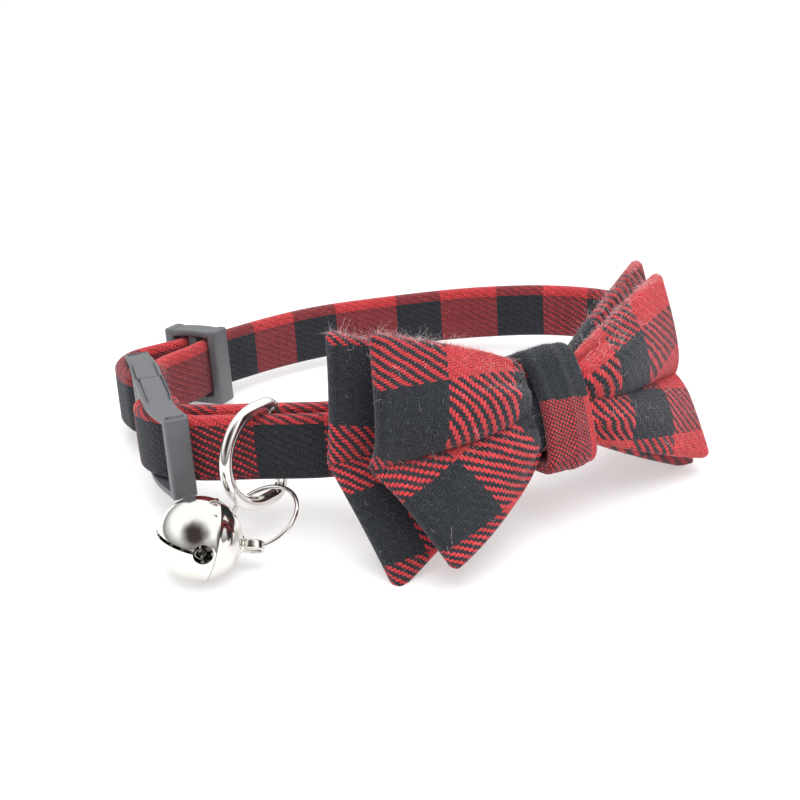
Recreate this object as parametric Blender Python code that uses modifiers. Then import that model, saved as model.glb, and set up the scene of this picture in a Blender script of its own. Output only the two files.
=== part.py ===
"""Pet bow tie collar: a cloth strap with a breakaway buckle, a slider, a D-ring with a bell, and a bow.

The collar stands on its edge with the loop open, as it does on a table.
X runs along the bow, -Y is the side the bow faces, +Z is up, and z = 0 is the table.
"""
import bpy
import bmesh
import math
from collections import namedtuple
from mathutils import Matrix, Vector
from mathutils.geometry import interpolate_bezier

for old in list(bpy.data.objects):
    bpy.data.objects.remove(old)

MM = 0.001
GAP = 0.3 * MM

# Strap
STRAP_WIDTH = 11.0 * MM
STRAP_THICKNESS = 2.4 * MM
STRAP_EDGE_ROUND = 0.8 * MM
STRAP_STEP = 2.2 * MM
FOLD_LEAD = 1.4
FOLD_SEGMENTS = 6

# Neck loop
LOOP_HALF_WIDTH = 50.0 * MM
LOOP_HALF_DEPTH = 35.0 * MM
LOOP_TILT = math.radians(7.3)

# Buckle
BUCKLE_HEIGHT = 13.6 * MM
BUCKLE_THICKNESS = 5.0 * MM
BUCKLE_CORE = 4.0 * MM
BUCKLE_SPLIT = 0.5
BUCKLE_BAR_RADIUS = 1.1 * MM
BUCKLE_END_BAR = 2.2 * MM
BAR_SEGMENTS = 12

# Slider
SLIDER_HEIGHT = 15.0 * MM
SLIDER_THICKNESS = 4.4 * MM
SLIDER_BAR = 2.0 * MM
SLIDER_TURN = math.radians(-57.0)
SLIDER_EDGE_ROUND = 0.4 * MM

# D-ring
D_RING_WIRE = 2.3 * MM
D_RING_INNER_HEIGHT = 13.5 * MM
D_RING_DEPTH = 12.4 * MM
D_RING_SWING = math.radians(204.0)
D_RING_ALONG = 0.25
D_RING_SEGMENTS = 16
D_RING_CORNER_POINTS = 3
D_RING_HOLD = math.radians(-71.0)

# Jump ring and bell
JUMP_RING_WIRE = 0.75 * MM
JUMP_RING_RADIUS = 6.0 * MM
JUMP_RING_SEGMENTS = 30
JUMP_RING_HANG = 2.85 * MM
JUMP_RING_SHIFT = 2.4 * MM
RING_HEADING = math.radians(228.0)
RING_DROP = math.radians(24.3)
RING_ACROSS = math.radians(-49.0)
RING_ACROSS_RISE = math.radians(15.3)
BELL_RADIUS = 6.6 * MM
BELL_WALL = 0.6 * MM
BELL_RINGS = 8
BELL_SEGMENTS = 28
BELL_SLIT = 0.9 * MM
BELL_HEADING = math.radians(163.0)
BELL_SLIT_HEADING = math.radians(260.0)
BELL_HOLE_ANGLE = math.radians(71.0)
BELL_HOLE_RADIUS = 1.3 * MM
BELL_LOOP_WIRE = 0.8 * MM
BELL_LOOP_RADIUS = 1.7 * MM
BELL_LOOP_SEGMENTS = 14
BELL_LOOP_REST = 0.45 * MM
BELL_SEAM = 1.6 * MM
BELL_HOLE_SEGMENTS = 10
BELL_BALL_RADIUS = 1.8 * MM
BALL_SEGMENTS = 12
BALL_RINGS = 8

# Bow
BOW_HALF_LENGTH = 38.0 * MM
BOW_HALF_HEIGHT = 20.0 * MM
BOW_CLOTH = 2.7 * MM
BOW_CLOTH_PINCHED = 2.2 * MM
BOW_LAYER_SPACE = 4.0 * MM
BOW_LEAN = math.radians(26.0)
BOW_SHIFT = -1.5 * MM
KNOT_WIDTH = 11.0 * MM
KNOT_HEIGHT = 20.0 * MM
KNOT_CLOTH = 1.7 * MM
KNOT_EDGE_ROUND = 0.75 * MM
KNOT_ROOM = 0.75 * MM

# Places on the neck loop, as shares of its half width (x) and half depth (y).
# The strap runs from the slider round the back, the right side and the front to the buckle.
LoopRow = namedtuple("LoopRow", "place x y")
LOOP_ROWS = (
    LoopRow("back_left", -0.44, 0.855),
    LoopRow("back", -0.10, 0.915),
    LoopRow("back_right", 0.26, 0.80),
    LoopRow("right_back", 0.60, 0.60),
    LoopRow("right_upper", 0.83, 0.34),
    LoopRow("right", 0.955, -0.05),
    LoopRow("right_front", 0.80, -0.50),
    LoopRow("front_right", 0.42, -0.90),
    LoopRow("front", 0.0, -1.045),
    LoopRow("front_left", -0.36, -1.00),
    LoopRow("ring_right", -0.70, -0.85),
    LoopRow("ring_left", -0.868, -0.666),
    LoopRow("buckle_mouth", -1.036, -0.483),
    LoopRow("corner", -1.104, -0.355),
)
ADJUSTER_ROWS = (
    LoopRow("slack", -0.81, 0.805),
    LoopRow("corner_back", -0.92, 0.77),
    LoopRow("corner_left", -1.00, 0.64),
)
SEWN_END = 0.25
Place = namedtuple("Place", "x y")
FAR_END_PLACE = Place(-0.950, 0.600)
NEAR_BEND_PLACE = Place(-1.100, -0.343)
NEAR_END_PLACE = Place(-1.108, -0.575)
SLIDER_PLACE = Place(-0.656, 0.797)
FAR_BAR_PLACE = Place(-0.978, 0.386)
NEAR_BAR_PLACE = Place(-1.066, -0.135)

# Corners of the four wing ends, from the middle of the bow's back layer. "along" is a share of
# the bow's half length, "forward" and "up" are shares of its half height. "bow_out" is how far the
# edge from the knot to that corner bends outwards, as a share of the half height. The two lower
# corners of the back layer rest on the table, whatever their share.
WingEnd = namedtuple("WingEnd", "layer corner along forward up bow_out")
WING_ENDS = (
    WingEnd("back_left", "top", -0.958, -0.235, 1.03, 0.03),
    WingEnd("back_left", "crease", -1.00, -0.10, -0.055, 0.0),
    WingEnd("back_left", "bottom", -0.857, 0.512, -0.88, 0.03),
    WingEnd("back_right", "top", 0.903, -0.785, 0.835, 0.03),
    WingEnd("back_right", "crease", 1.00, -0.575, -0.18, 0.0),
    WingEnd("back_right", "bottom", 0.96, 0.10, -0.88, 0.04),
    WingEnd("front_left", "top", -0.862, 0.115, 1.08, 0.10),
    WingEnd("front_left", "crease", -0.894, 0.225, -0.01, 0.0),
    WingEnd("front_left", "bottom", -0.688, 0.835, -0.735, 0.17),
    WingEnd("front_right", "top", 0.892, -0.485, 0.79, 0.03),
    WingEnd("front_right", "crease", 0.95, -0.275, -0.18, 0.0),
    WingEnd("front_right", "bottom", 0.921, 0.34, -0.79, 0.18),
)
# Columns of a wing as shares of the way from the knot to its end, and rows from edge to edge
WING_COLUMNS = (0.0, 0.14, 0.34, 0.56, 0.78, 1.0)
WING_ROWS = (-1.0, -0.74, -0.46, -0.20, 0.0, 0.20, 0.46, 0.74, 1.0)
WING_PUFF = {"front": 2.4 * MM, "back": 0.8 * MM}
PUFF_AT_END = 0.35
PUFF_NEAR_KNOT = 0.6
EDGE_BEND_SHAPE = 0.7
KNOT_RISE = 2.2 * MM
PLEAT_SHARPNESS = 0.7
CORNER_SINK = 0.8
PINCH_ROOM = 0.9 * MM
BACK_PINCH = 0.88

parts = bpy.data.collections.new("pet_bow_tie_collar")
cutters = bpy.data.collections.new("cutters")
for group in (parts, cutters):
    bpy.context.scene.collection.children.link(group)


def material(name, colour, roughness, metallic=0.0):
    made = bpy.data.materials.new(name)
    made.use_nodes = True
    shader = made.node_tree.nodes["Principled BSDF"]
    shader.inputs["Base Color"].default_value = (*colour, 1.0)
    shader.inputs["Roughness"].default_value = roughness
    shader.inputs["Metallic"].default_value = metallic
    made.diffuse_color = (*colour, 1.0)
    return made


def add_object(name, mesh, look, parent=None):
    made = bpy.data.objects.new(name, mesh)
    parts.objects.link(made)
    mesh.materials.append(look)
    made.parent = parent
    return made


def add_cutter(name, mesh, parent=None):
    made = bpy.data.objects.new(name, mesh)
    cutters.objects.link(made)
    made.parent = parent
    made.hide_render = True
    made.display_type = "WIRE"
    return made


def cut(target, cutter, operation="DIFFERENCE"):
    boolean = target.modifiers.new(cutter.name, "BOOLEAN")
    boolean.operation = operation
    boolean.solver = "EXACT"
    boolean.object = cutter
    return boolean


def mesh_from(name, bm):
    bmesh.ops.recalc_face_normals(bm, faces=bm.faces)
    mesh = bpy.data.meshes.new(name)
    bm.to_mesh(mesh)
    bm.free()
    return mesh


def at(place):
    """Plan position of a place on the loop."""
    return Vector((place.x * LOOP_HALF_WIDTH, place.y * LOOP_HALF_DEPTH))


def row(name):
    return next(at(entry) for entry in LOOP_ROWS if entry.place == name)


def heading(angle):
    return Vector((math.cos(angle), math.sin(angle)))


def side(direction):
    """The direction a quarter turn to the left."""
    return Vector((-direction.y, direction.x))


def smooth(points, step):
    """A smooth line through the points: one Bezier piece from each to the next."""
    lengths = [(b - a).length for a, b in zip(points, points[1:])]
    slopes = [(b - a) / d for a, b, d in zip(points, points[1:], lengths)]
    tangents = [slopes[0]]
    for before, after, d0, d1 in zip(slopes, slopes[1:], lengths, lengths[1:]):
        tangents.append((before * d1 + after * d0) / (d0 + d1))
    tangents.append(slopes[-1])
    line = [points[0]]
    for index, length in enumerate(lengths):
        start, stop = points[index], points[index + 1]
        count = max(1, round(length / step))
        piece = interpolate_bezier(
            start.to_3d(),
            (start + tangents[index] * length / 3).to_3d(),
            (stop - tangents[index + 1] * length / 3).to_3d(),
            stop.to_3d(),
            count + 1,
        )
        line.extend(point.xy for point in piece[1:])
    return line


def half_turn(centre, outward, along, radius):
    """Points round a bar from its outer side, over its far side, to its inner side."""
    points = []
    for index in range(FOLD_SEGMENTS + 1):
        angle = math.pi * index / FOLD_SEGMENTS
        points.append(centre + outward * radius * math.cos(angle) + along * radius * math.sin(angle))
    return points


# How the pieces meet the strap, all worked out from the sizes above
FOLD_RADIUS = BUCKLE_BAR_RADIUS + GAP + STRAP_THICKNESS / 2
WINDOW = STRAP_THICKNESS + 2 * GAP
WINDOW_HEIGHT = STRAP_WIDTH + 2 * GAP
WINDOW_PITCH = (SLIDER_BAR + WINDOW) / 2
SLIDER_REACH = SLIDER_THICKNESS / 2 + STRAP_THICKNESS
SLIDER_LENGTH = 3 * SLIDER_BAR + 2 * WINDOW

far_bar = at(FAR_BAR_PLACE)
near_bar = at(NEAR_BAR_PLACE)
buckle_axis = (far_bar - near_bar).normalized()
buckle_out = side(buckle_axis)
slider_middle = at(SLIDER_PLACE)
slider_in = heading(SLIDER_TURN)
slider_right = side(slider_in)
slider_low = slider_middle - slider_in * SLIDER_LENGTH / 2 + slider_right * SLIDER_THICKNESS / 2
table_clearance = (
    (SLIDER_HEIGHT - STRAP_WIDTH) / 2 * math.cos(LOOP_TILT)
    - (LOOP_HALF_DEPTH - slider_low.y) * math.sin(LOOP_TILT)
)

collar = bpy.data.objects.new("collar_lie", None)
parts.objects.link(collar)
collar.location = (0.0, LOOP_HALF_DEPTH, table_clearance)
collar.rotation_euler = (-LOOP_TILT, 0.0, 0.0)
COLLAR_MATRIX = Matrix.Translation(collar.location) @ collar.rotation_euler.to_matrix().to_4x4()


def local(point, height):
    """A plan point at a height across the strap, in the collar's own tilted frame."""
    return Vector((point.x, point.y - LOOP_HALF_DEPTH, height))


def world(point, height):
    return COLLAR_MATRIX @ local(point, height)


def window_run(shift):
    """Points straight through a window of the slider, from its left side to its right side."""
    middle = slider_middle + slider_in * shift
    inside = SLIDER_THICKNESS / 2 + GAP
    return [middle + slider_right * reach for reach in (-SLIDER_REACH, -inside, inside, SLIDER_REACH)]


def strap_line():
    """Line of the whole strap from above, from the slider's eye round the neck to its sewn end."""
    adjuster_out = window_run(-WINDOW_PITCH)[:0:-1] + [at(entry) for entry in ADJUSTER_ROWS]
    far_turn = half_turn(far_bar, buckle_out, -buckle_axis, FOLD_RADIUS)
    inner_bend = far_turn[-1] + buckle_axis * FOLD_RADIUS * FOLD_LEAD
    adjuster_in = [inner_bend, *window_run(WINDOW_PITCH)]
    neck_run = [at(entry) for entry in LOOP_ROWS]
    near_turn = half_turn(near_bar, buckle_out, buckle_axis, FOLD_RADIUS)
    front_in = (row("ring_left") - row("buckle_mouth")).normalized()
    layer_offset = side(front_in) * 2 * FOLD_RADIUS
    sewn_offset = side(front_in) * (STRAP_THICKNESS + GAP)
    sewn_end = row("front_left") * (1 - SEWN_END) + row("front") * SEWN_END
    inner_run = [
        near_turn[-1] - buckle_axis * FOLD_RADIUS * FOLD_LEAD,
        row("buckle_mouth") + layer_offset + front_in * FOLD_RADIUS * (FOLD_LEAD - 1),
        row("ring_left") + layer_offset,
        row("ring_right") + layer_offset,
        row("front_left") + sewn_offset,
        sewn_end + sewn_offset,
    ]
    return smooth(adjuster_out + far_turn + adjuster_in + neck_run + near_turn + inner_run, STRAP_STEP)


def ribbon(name, line, width, thickness, edge, look, parent):
    """A band on its edge along a line seen from above."""
    bm = bmesh.new()
    rows = [bm.verts.new(local(point, 0.0)) for point in line]
    edges = [bm.edges.new(pair) for pair in zip(rows, rows[1:])]
    raised = bmesh.ops.extrude_edge_only(bm, edges=edges)["geom"]
    top = [item for item in raised if isinstance(item, bmesh.types.BMVert)]
    bmesh.ops.translate(bm, verts=top, vec=(0.0, 0.0, width))
    made = add_object(name, mesh_from(name, bm), look, parent)
    solid = made.modifiers.new("cloth", "SOLIDIFY")
    solid.thickness = thickness
    solid.offset = 0.0
    solid.use_even_offset = True
    round_edges(made, edge, 1, 60.0)
    return made


def round_edges(target, width, segments, limit):
    bevel = target.modifiers.new("rounded_edges", "BEVEL")
    bevel.width = width
    bevel.segments = segments
    bevel.limit_method = "ANGLE"
    bevel.angle_limit = math.radians(limit)
    return bevel


def plate(name, outline, low, high):
    """A closed upright prism with the outline's plan, between two heights."""
    bm = bmesh.new()
    floor = bm.faces.new([bm.verts.new(local(point, low)) for point in outline])
    raised = bmesh.ops.extrude_face_region(bm, geom=[floor], use_keep_orig=True)["geom"]
    top = [item for item in raised if isinstance(item, bmesh.types.BMVert)]
    bmesh.ops.translate(bm, verts=top, vec=(0.0, 0.0, high - low))
    return mesh_from(name, bm)


def strip_outline(line, inside, outside):
    """Plan outline of a strip along a line, from its inner offset to its outer offset."""
    left, right = [], []
    for index, point in enumerate(line):
        before = line[max(index - 1, 0)]
        after = line[min(index + 1, len(line) - 1)]
        out = side((after - before).normalized())
        left.append(point + out * outside)
        right.append(point - out * inside)
    return left + right[::-1]


def box_outline(middle, along, length, width):
    across = side(along)
    corners = ((-1, -1), (1, -1), (1, 1), (-1, 1))
    return [middle + along * a * length / 2 + across * b * width / 2 for a, b in corners]


def upright_bar(name, place, radius, low, high):
    bm = bmesh.new()
    bmesh.ops.create_cone(
        bm, cap_ends=True, segments=BAR_SEGMENTS, radius1=radius, radius2=radius, depth=high - low,
        matrix=Matrix.Translation(local(place, (low + high) / 2)),
    )
    return mesh_from(name, bm)


def buckle_half(name, bar, spine, end_bar, look):
    """Core, two rails, the bar that the strap folds round and the bar at the outer end."""
    low = (STRAP_WIDTH - BUCKLE_HEIGHT) / 2
    high = low + BUCKLE_HEIGHT
    half = BUCKLE_THICKNESS / 2
    body = add_object(name, plate(name, strip_outline(spine, half, half), low, high), look, collar)
    inward = (spine[-1] - spine[0]).normalized()
    core_end = spine[0] + inward * BUCKLE_CORE
    length = sum((b - a).length for a, b in zip(spine, spine[1:])) * 2
    reach = box_outline(core_end + inward * length / 2, inward, length, length)
    window = add_cutter(name + "_window", plate(name + "_window", reach, -GAP, STRAP_WIDTH + GAP), collar)
    cut(body, window)
    overlap = (BUCKLE_HEIGHT - WINDOW_HEIGHT) / 4
    bar_mesh = upright_bar(name + "_bar", bar, BUCKLE_BAR_RADIUS, low + overlap, high - overlap)
    cut(body, add_cutter(name + "_bar", bar_mesh, collar), "UNION")
    along = (spine[-1] - spine[-2]).normalized()
    post = box_outline(end_bar, along, BUCKLE_END_BAR, BUCKLE_END_BAR)
    post_mesh = plate(name + "_post", post, low + overlap, high - overlap)
    cut(body, add_cutter(name + "_post", post_mesh, collar), "UNION")
    return body


def make_buckle(look):
    split = far_bar * BUCKLE_SPLIT + near_bar * (1 - BUCKLE_SPLIT)
    far_spine = [split + buckle_axis * GAP / 2, far_bar, at(FAR_END_PLACE)]
    near_spine = [split - buckle_axis * GAP / 2, near_bar, at(NEAR_BEND_PLACE), at(NEAR_END_PLACE)]
    buckle_half("buckle_far", far_bar, far_spine, at(FAR_END_PLACE), look)
    buckle_half("buckle_near", near_bar, near_spine, at(NEAR_END_PLACE), look)


def make_slider(look):
    low = (STRAP_WIDTH - SLIDER_HEIGHT) / 2
    high = low + SLIDER_HEIGHT
    outline = box_outline(slider_middle, slider_in, SLIDER_LENGTH, SLIDER_THICKNESS)
    slider = add_object("slider", plate("slider", outline, low, high), look, collar)
    for name, shift in (("near_window", WINDOW_PITCH), ("far_window", -WINDOW_PITCH)):
        hole = box_outline(slider_middle + slider_in * shift, slider_in, WINDOW, SLIDER_THICKNESS * 2)
        cut(slider, add_cutter(name, plate(name, hole, -GAP, STRAP_WIDTH + GAP), collar))
    round_edges(slider, SLIDER_EDGE_ROUND, 2, 40.0)


def wire(name, points, thickness, sides_level, look, cyclic, parent=None):
    curve = bpy.data.curves.new(name, "CURVE")
    curve.dimensions = "3D"
    curve.bevel_depth = thickness / 2
    curve.bevel_resolution = sides_level
    curve.use_fill_caps = not cyclic
    spline = curve.splines.new("POLY")
    spline.points.add(len(points) - 1)
    for target, point in zip(spline.points, points):
        target.co = (*point, 1.0)
    spline.use_cyclic_u = cyclic
    return add_object(name, curve, look, parent)


def d_ring_middle():
    """The straight side of the D lies between the two layers of the strap."""
    outer = row("ring_left") * (1 - D_RING_ALONG) + row("ring_right") * D_RING_ALONG
    front = (row("ring_right") - row("ring_left")).normalized()
    return outer + side(front) * FOLD_RADIUS


def d_ring_height():
    """The D hangs by its upper arm from the strap's top edge."""
    return STRAP_WIDTH + GAP + D_RING_WIRE / 2 - (D_RING_INNER_HEIGHT + D_RING_WIRE) / 2


def d_ring_point(out, up):
    return world(d_ring_middle() + heading(D_RING_SWING) * out, d_ring_height() + up)


def make_d_ring(look):
    half = (D_RING_INNER_HEIGHT + D_RING_WIRE) / 2
    bend = D_RING_WIRE
    straight = D_RING_DEPTH - half
    points = [(0.0, share * (half - bend)) for share in (-1.0, 0.0, 1.0)]
    points += corner_points(bend, half - bend, bend, 90.0, 180.0)[::-1]
    points.append((straight, half))
    for index in range(1, D_RING_SEGMENTS):
        angle = math.pi / 2 - math.pi * index / D_RING_SEGMENTS
        points.append((straight + half * math.cos(angle), half * math.sin(angle)))
    points.append((straight, -half))
    points += corner_points(bend, -(half - bend), bend, 180.0, 270.0)[::-1]
    wire("d_ring", [d_ring_point(*point) for point in points], D_RING_WIRE, 4, look, True)


def corner_points(x, y, radius, start, stop):
    """Points inside a rounded corner, between its two ends."""
    points = []
    for index in range(1, D_RING_CORNER_POINTS + 1):
        angle = math.radians(start + (stop - start) * index / (D_RING_CORNER_POINTS + 1))
        points.append((x + radius * math.cos(angle), y + radius * math.sin(angle)))
    return points


def ring_frame():
    """Middle of the jump ring, and its two directions: down to the bell, and across."""
    down = direction(RING_HEADING, -RING_DROP)
    across = direction(RING_ACROSS, RING_ACROSS_RISE)
    across = (across - down * across.dot(down)).normalized()
    half = (D_RING_INNER_HEIGHT + D_RING_WIRE) / 2
    hold = d_ring_point(
        D_RING_DEPTH - half + half * math.cos(D_RING_HOLD), half * math.sin(D_RING_HOLD)
    )
    return hold + down * JUMP_RING_HANG + across * JUMP_RING_SHIFT, down, across


def direction(angle, rise):
    return Vector((math.cos(angle) * math.cos(rise), math.sin(angle) * math.cos(rise), math.sin(rise)))


def make_jump_ring(look):
    middle, down, across = ring_frame()
    points = []
    for index in range(JUMP_RING_SEGMENTS):
        angle = math.tau * index / JUMP_RING_SEGMENTS
        points.append(middle + (down * math.cos(angle) + across * math.sin(angle)) * JUMP_RING_RADIUS)
    wire("jump_ring", points, JUMP_RING_WIRE, 3, look, True)


def bell_frame():
    """Middle of the bell, its axis towards its loop, and the way that the loop's hole faces.

    The bell lies on the table with its loop round the jump ring's lowest point.
    """
    middle, down, across = ring_frame()
    loop = middle + down * JUMP_RING_RADIUS + down.cross(across) * BELL_LOOP_REST
    reach = BELL_RADIUS + BELL_LOOP_RADIUS
    rise = math.asin((BELL_RADIUS - loop.z) / reach)
    axis = -direction(BELL_HEADING, rise)
    return loop - axis * reach, axis, upright_to(axis, across)


def upright_to(axis, way):
    """The part of a direction that is at right angles to an axis."""
    return (way - axis * way.dot(axis)).normalized()


def frame_at(middle, axis, across):
    """Placement with Z along the axis and X across it."""
    turned = Matrix((across, axis.cross(across), axis)).transposed().to_4x4()
    return Matrix.Translation(middle) @ turned


def bell_loop_mesh():
    """The wire loop on top of the bell, as a closed mesh."""
    curve = bpy.data.curves.new("bell_loop", "CURVE")
    curve.dimensions = "3D"
    curve.bevel_depth = BELL_LOOP_WIRE / 2
    curve.bevel_resolution = 2
    spline = curve.splines.new("POLY")
    spline.points.add(BELL_LOOP_SEGMENTS - 1)
    for index, target in enumerate(spline.points):
        angle = math.tau * index / BELL_LOOP_SEGMENTS
        height = BELL_RADIUS + BELL_LOOP_RADIUS + BELL_LOOP_RADIUS * math.sin(angle)
        target.co = (0.0, BELL_LOOP_RADIUS * math.cos(angle), height, 1.0)
    spline.use_cyclic_u = True
    drawn = add_cutter("bell_loop", curve)
    depsgraph = bpy.context.evaluated_depsgraph_get()
    mesh = bpy.data.meshes.new_from_object(drawn.evaluated_get(depsgraph))
    bpy.data.objects.remove(drawn)
    bpy.data.curves.remove(curve)
    return mesh


def make_bell(look):
    middle, axis, loop_hole = bell_frame()
    slit_way = upright_to(axis, direction(BELL_SLIT_HEADING, 0.0))
    place = frame_at(middle, axis, slit_way)
    shell = half_shell("bell_shell", -1, look, place)
    depth = BELL_RADIUS * 2
    slit = bmesh.new()
    bmesh.ops.create_cube(slit, size=1.0)
    span = 2 * BELL_RADIUS * math.sin(BELL_HOLE_ANGLE)
    bmesh.ops.scale(slit, verts=slit.verts, vec=(span, BELL_SLIT, depth))
    slit_end = BELL_RADIUS * math.cos(BELL_HOLE_ANGLE)
    bmesh.ops.translate(slit, verts=slit.verts, vec=(0.0, 0.0, -slit_end - depth / 2))
    slit_cutter = add_cutter("bell_slit", mesh_from("bell_slit", slit))
    slit_cutter.matrix_world = place
    cut(shell, slit_cutter)
    for name, angle in (("bell_hole_a", BELL_HOLE_ANGLE), ("bell_hole_b", -BELL_HOLE_ANGLE)):
        hole = bmesh.new()
        bmesh.ops.create_cone(
            hole, cap_ends=True, segments=BELL_HOLE_SEGMENTS,
            radius1=BELL_HOLE_RADIUS, radius2=BELL_HOLE_RADIUS, depth=BELL_RADIUS,
            matrix=Matrix.Rotation(angle, 4, "Y") @ Matrix.Translation((0.0, 0.0, -BELL_RADIUS)),
        )
        hole_cutter = add_cutter(name, mesh_from(name, hole))
        hole_cutter.matrix_world = place
        cut(shell, hole_cutter)
    cap = half_shell("bell_cap", 1, look, place)
    loop_cutter = add_cutter("bell_loop", bell_loop_mesh())
    loop_cutter.matrix_world = frame_at(middle, axis, loop_hole)
    cut(cap, loop_cutter, "UNION")
    ball = bmesh.new()
    bmesh.ops.create_uvsphere(
        ball, u_segments=BALL_SEGMENTS, v_segments=BALL_RINGS, radius=BELL_BALL_RADIUS
    )
    held = add_object("bell_ball", mesh_from("bell_ball", ball), look)
    held.location = middle - Vector((0.0, 0.0, BELL_RADIUS - BELL_WALL - GAP - BELL_BALL_RADIUS))
    held.data.shade_smooth()


def half_shell(name, sign, look, place):
    """Part of the bell on one side of its seam, turned from a profile."""
    radius = BELL_RADIUS - BELL_WALL / 2
    seam = math.asin((BELL_SEAM + sign * GAP / 2) / radius)
    pole = math.copysign(math.pi / 2, sign)
    bm = bmesh.new()
    verts = []
    for index in range(BELL_RINGS + 1):
        angle = seam + (pole - seam) * index / BELL_RINGS
        across = 0.0 if index == BELL_RINGS else radius * math.cos(angle)
        verts.append(bm.verts.new((across, 0.0, radius * math.sin(angle))))
    for pair in zip(verts, verts[1:]):
        bm.edges.new(pair)
    made = add_object(name, mesh_from_open(name, bm), look)
    screw = made.modifiers.new("turned", "SCREW")
    screw.steps = BELL_SEGMENTS
    screw.render_steps = BELL_SEGMENTS
    screw.use_merge_vertices = True
    screw.merge_threshold = 0.00005
    screw.use_normal_flip = sign > 0
    solid = made.modifiers.new("sheet", "SOLIDIFY")
    solid.thickness = BELL_WALL
    solid.offset = 0.0
    made.matrix_world = place
    return made


def mesh_from_open(name, bm):
    mesh = bpy.data.meshes.new(name)
    bm.to_mesh(mesh)
    bm.free()
    return mesh


# The bow stands in front of the strap's front point and leans back
strap_front = world(row("front"), STRAP_WIDTH / 2)
bow_up = Vector((0.0, math.sin(BOW_LEAN), math.cos(BOW_LEAN)))
bow_forward = Vector((0.0, -math.cos(BOW_LEAN), math.sin(BOW_LEAN)))
strap_room = (
    STRAP_THICKNESS / 2 + GAP + BOW_CLOTH / 2
    + STRAP_WIDTH / 2 * math.tan(BOW_LEAN - LOOP_TILT)
)
bow_middle = strap_front + Vector((BOW_SHIFT, -strap_room / math.cos(BOW_LEAN), 0.0))
bow_middle += bow_up * KNOT_RISE


def wing_row(layer, corner):
    return next(entry for entry in WING_ENDS if (entry.layer, entry.corner) == (layer, corner))


def wing_corner(layer, corner):
    entry = wing_row(layer, corner)
    point = bow_middle + Vector(
        (entry.along * BOW_HALF_LENGTH, -entry.forward * BOW_HALF_HEIGHT, entry.up * BOW_HALF_HEIGHT)
    )
    if layer.startswith("back") and corner == "bottom":
        point.z = -BOW_CLOTH * CORNER_SINK
    return point


def lobe(height):
    """Height of the two lobes above a wing's flat form, with a sharp crease between them."""
    return math.sin(math.pi * abs(height) ** PLEAT_SHARPNESS)


def pinch_point(layer, height):
    """A point of the pinched cloth inside the knot."""
    half = KNOT_HEIGHT / 2 - KNOT_CLOTH - GAP - BOW_CLOTH_PINCHED / 2
    if layer == "back":
        return bow_middle + bow_up * half * BACK_PINCH * height
    return bow_middle + bow_forward * BOW_LAYER_SPACE + bow_up * half * height


def wing_point(layer, hand, grow, height):
    """A point of a wing, from the pinched cloth at the knot to the wing's open end."""
    end_name = layer + "_" + hand
    edge_name = "top" if height >= 0 else "bottom"
    crease = wing_corner(end_name, "crease")
    edge = wing_corner(end_name, edge_name)
    start = pinch_point(layer, height)
    start.x += math.copysign(KNOT_WIDTH / 2 + PINCH_ROOM, edge.x - bow_middle.x)
    point = start.lerp(crease.lerp(edge, abs(height)), grow)
    swell = PUFF_AT_END * grow ** 0.5 + (1 - PUFF_AT_END) * math.sin(math.pi * grow ** PUFF_NEAR_KNOT)
    puff = WING_PUFF[layer] * lobe(height) * swell
    bend_share = wing_row(end_name, edge_name).bow_out * abs(math.sin(math.pi * grow)) ** EDGE_BEND_SHAPE
    outward = (edge - crease).normalized() * abs(height)
    return point + bow_forward * puff + outward * bend_share * BOW_HALF_HEIGHT


def make_layer(layer, look):
    """One layer of the bow: a sheet pinched in the middle and open at both ends."""
    bm = bmesh.new()
    sheet = [[wing_point(layer, "left", grow, h) for h in WING_ROWS] for grow in WING_COLUMNS[::-1]]
    sheet.append([pinch_point(layer, h) for h in WING_ROWS])
    sheet += [[wing_point(layer, "right", grow, h) for h in WING_ROWS] for grow in WING_COLUMNS]
    columns = [[bm.verts.new(point) for point in column] for column in sheet]
    for left, right in zip(columns, columns[1:]):
        for index in range(len(WING_ROWS) - 1):
            bm.faces.new((left[index], right[index], right[index + 1], left[index + 1]))
    name = "bow_" + layer
    made = add_object(name, mesh_from_open(name, bm), look)
    pinched = made.vertex_groups.new(name="open_cloth")
    for vertex in made.data.vertices:
        from_middle = abs(vertex.co.x - bow_middle.x)
        share = min(1.0, max(0.0, (from_middle - KNOT_WIDTH / 2) / (KNOT_WIDTH / 2)))
        pinched.add([vertex.index], share, "REPLACE")
    solid = made.modifiers.new("cloth", "SOLIDIFY")
    solid.thickness = BOW_CLOTH
    solid.offset = 0.0
    solid.vertex_group = pinched.name
    solid.thickness_vertex_group = BOW_CLOTH_PINCHED / BOW_CLOTH
    soft = made.modifiers.new("soft", "SUBSURF")
    soft.levels = 1
    soft.render_levels = 1
    if layer == "back":
        bm = bmesh.new()
        bmesh.ops.create_cube(bm, size=1.0)
        size = Vector((BOW_HALF_LENGTH * 4, BOW_HALF_LENGTH * 4, BOW_HALF_HEIGHT))
        bmesh.ops.scale(bm, verts=bm.verts, vec=size)
        bmesh.ops.translate(bm, verts=bm.verts, vec=(0.0, 0.0, -size.z / 2))
        cut(made, add_cutter("table_contact", mesh_from("table_contact", bm)))
    return made


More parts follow.
